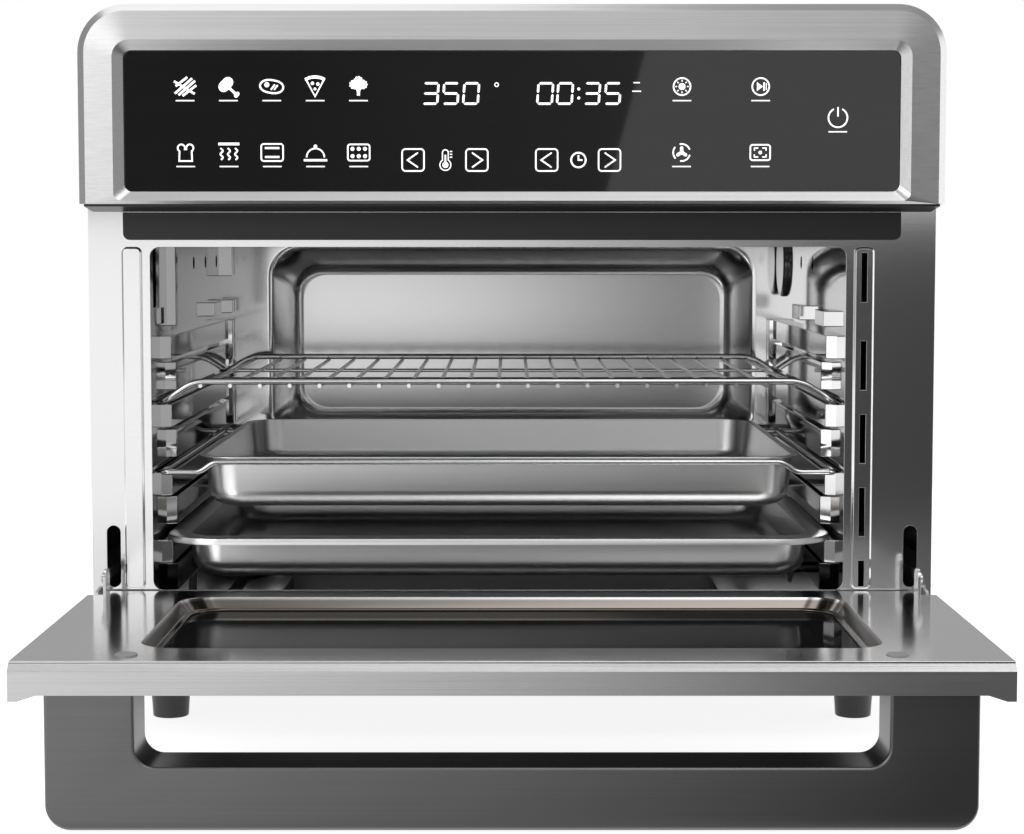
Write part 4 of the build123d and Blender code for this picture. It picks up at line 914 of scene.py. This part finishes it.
cameraSizes = {"away": 1.17566, "above": 0.17897, "pitch": 4.374, "lens": 81.225}
stageSizes = {"floorBack": 1.2, "floorSide": 1.3, "floorFront": 0.2, "sweepStart": 0.205, "sweepDeep": 3.4,
              "sweepHigh": 3.2, "sweepHalf": 4.5, "curve": 1.0}
sweepTones = {
    "near": ((-0.25, 1.05), (0.0, 0.45), (0.13, 0.1), (0.22, 0.12), (0.5, 0.42)),
    "low": ((-0.42, 1.3), (-0.16, 1.02), (-0.09, 1.35), (0.0, 0.95), (0.045, 0.46), (0.088, 0.3), (0.13, 0.05),
            (0.22, 0.05), (0.45, 0.42)),
    "lip": ((-0.42, 1.3), (-0.17, 1.0), (-0.135, 0.8), (0.0, 0.45), (0.05, 0.25), (0.1, 0.1), (0.17, 0.05),
            (0.22, 0.05), (0.45, 0.42)),
    "door": ((-0.42, 1.3), (-0.14, 1.3), (-0.08, 0.85), (0.04, 0.65), (0.1, 0.45), (0.15, 0.14), (0.25, 0.16),
             (0.45, 0.42)),
    "glass": ((-0.22, 0.1), (-0.1, 0.1), (0.1, 0.3), (0.25, 0.3)),
    "high": ((-0.42, 1.3), (-0.2, 0.72), (0.1, 0.72), (0.3, 0.48), (0.5, 0.42))}
# where each zone of the sweep takes over from the one below it, on v
sweepZones = {"low": (-0.135, -0.115), "lip": (-0.005, -0.002), "door": (0.010, 0.016), "high": (0.24, 0.30)}
# card in front of the control glass, with the lighter pane that the glass mirrors
pane = {"u": 0.0393, "v": 0.019, "lean": 0.2756, "right": 0.2, "tone": 0.95, "before": 1.0, "half": 0.24,
        "low": 0.016, "high": 0.112}


def blank(name):
    made = bpy.data.materials.new(name)
    made.use_nodes = True
    made.node_tree.nodes.clear()
    return made, Sock(made.node_tree)


def stagePiece(name, points, material):
    mesh = bpy.data.meshes.new(name)
    flat, faces = sheet(points)
    mesh.from_pydata(flat.tolist(), [], faces)
    mesh.materials.append(material)
    mesh.shade_smooth()
    thing = bpy.data.objects.new(name, mesh)
    bpy.context.scene.collection.objects.link(thing)
    return thing


floorTones = {"lit": 0.5, "glow": 0.88}
skyTones = {"plain": 0.36, "shown": 0.64, "mirrored": 0.04, "through": 0.3}


def seenRays(sock):
    # rays that the camera, a reflection and a pane send, as against those that light a surface
    return [sock.node("LightPath", out=kind) for kind in ("Is Camera Ray", "Is Glossy Ray", "Is Transmission Ray")]


def floorFinish():
    # most of its white glows for the camera, the rest is lit and takes the oven's shadow
    made, sock = blank("floorPale")
    shown, mirrored, through = seenRays(sock)
    seen = sock.maths("MINIMUM", shown + mirrored + through, 1.0)
    pale = sock.node("BsdfDiffuse", {}, {"Color": grey(floorTones["lit"])})
    glow = sock.node("Emission", {}, {"Color": grey(1.0), "Strength": seen * floorTones["glow"]})
    sock.node("OutputMaterial", {}, {"Surface": sock.node("AddShader", {}, {0: pale, 1: glow})})
    return made


def glowFinish(name, card):
    # u and v: place on the sweep or card as seen from the camera's mirror image behind the front face
    made, sock = blank(name)
    parts = sock.node("SeparateXYZ", {}, {0: sock.node("TexCoord", out="Object")}).socket.node.outputs
    x, y, z = (Sock(sock.tree, parts[axis]) for axis in "XYZ")
    reach = (frontY + cameraSizes["away"]) - y
    u = x / reach
    v = (z - (doorZ + cameraSizes["above"])) / reach

    def tone(key):
        stops = [(place + 0.5, value) for place, value in sweepTones[key]]
        return sock.node("ValToRGB", {"stops": stops}, {"Fac": u + 0.5})

    def blend(share, first, second):
        return sock.node("Mix", {"data_type": "RGBA"}, {"Factor": share, 6: first, 7: second}, out=2)

    if card:
        edge = u - (pane["u"] + (v - pane["v"]) * pane["lean"])
        inPane = (edge > 0.0) * (pane["right"] - u > 0.0)
        shade = blend(inPane, tone("glass"), grey(pane["tone"]))
    else:
        shade = tone("near")
        for zone, (low, high) in sweepZones.items():
            share = sock.node("MapRange", {"clamp": True}, {"Value": v, "From Min": low, "From Max": high})
            shade = blend(share, shade, tone(zone))
    sock.node("OutputMaterial", {}, {"Surface": sock.node("Emission", {}, {"Color": shade, "Strength": 1.0})})
    return made


def buildStage(s):
    gx, gy = np.meshgrid([-s["floorSide"], s["floorSide"]], [frontY - s["floorFront"], frontY + s["floorBack"]],
                         indexing="ij")
    stagePiece("floor", np.stack([gx, gy, np.zeros_like(gx)], -1), floorFinish())
    # level, then a quarter circle, then upright
    turn = np.linspace(0, pi / 2, 25)
    y = np.r_[-s["sweepStart"], -(s["sweepDeep"] - s["curve"]) - s["curve"] * np.sin(turn), -s["sweepDeep"]] + frontY
    z = np.r_[0.0, s["curve"] * (1 - np.cos(turn)), s["sweepHigh"]]
    gx, gy = np.meshgrid(np.linspace(-s["sweepHalf"], s["sweepHalf"], 9), y)
    points = np.stack([gx, gy, np.broadcast_to(z[:, None], gx.shape)], -1)
    stagePiece("lightSweep", points, glowFinish("sweepGlow", False)).visible_camera = False
    reach = cameraSizes["away"] + pane["before"]
    u, v = np.meshgrid([-pane["half"], pane["half"]], [pane["low"], pane["high"]])
    card = np.stack([u * reach, np.full((2, 2), frontY - pane["before"]), doorZ + cameraSizes["above"] + v * reach],
                    -1)
    stagePiece("glassCard", card, glowFinish("cardGlow", True)).visible_camera = False


def softbox(name, lamp):
    light = bpy.data.lights.new(name, "AREA")
    light.shape = "RECTANGLE"
    light.size, light.size_y = lamp["size"]
    light.energy = lamp["power"]
    thing = bpy.data.objects.new(name, light)
    bpy.context.scene.collection.objects.link(thing)
    thing.location = lamp["place"]
    thing.rotation_euler = (Vector(lamp["aim"]) - Vector(lamp["place"])).to_track_quat("-Z", "Y").to_euler()
    thing.visible_camera = False


def whiteWorld():
    world = bpy.data.worlds.new("paleStudio")
    bpy.context.scene.world = world
    world.use_nodes = True
    world.node_tree.nodes.clear()
    sock = Sock(world.node_tree)
    s = skyTones
    shown, mirrored, through = seenRays(sock)
    strength = s["plain"] + s["shown"] * shown + s["mirrored"] * mirrored + s["through"] * through
    sky = sock.node("Background", {}, {"Color": grey(1.0), "Strength": strength})
    sock.node("OutputWorld", {}, {"Surface": sky})


def photoCamera(s):
    lens = bpy.data.cameras.new("photoCamera")
    lens.lens = s["lens"]
    lens.sensor_width = 36.0
    camera = bpy.data.objects.new("photoCamera", lens)
    bpy.context.scene.collection.objects.link(camera)
    camera.location = (0.0, frontY - s["away"], doorZ + s["above"])
    camera.rotation_euler = (radians(90.0 - s["pitch"]), 0.0, 0.0)
    bpy.context.scene.camera = camera
    bpy.context.scene.view_settings.view_transform = "Standard"


softboxes = {
    "keyLeft": {"place": (-1.3, -1.5, 1.2), "aim": (0, 0, 0.2), "size": (1.0, 1.0), "power": 7.0},
    "topLeft": {"place": (-0.65, 0.2, 2.0), "aim": (-0.65, 0.2, 0.0), "size": (1.5, 1.5), "power": 8.8},
    "frontRight": {"place": (0.6, -1.4, 2.0), "aim": (0.2, -0.3, 0.2), "size": (1.4, 1.4), "power": 11.0},
    "rightFill": {"place": (1.4, 0.15, 0.4), "aim": (0, 0.1, 0.25), "size": (0.9, 0.9), "power": 3.2},
}
buildStage(stageSizes)
whiteWorld()
photoCamera(cameraSizes)
for name, lamp in softboxes.items():
    softbox(name, lamp)
print("stage set")
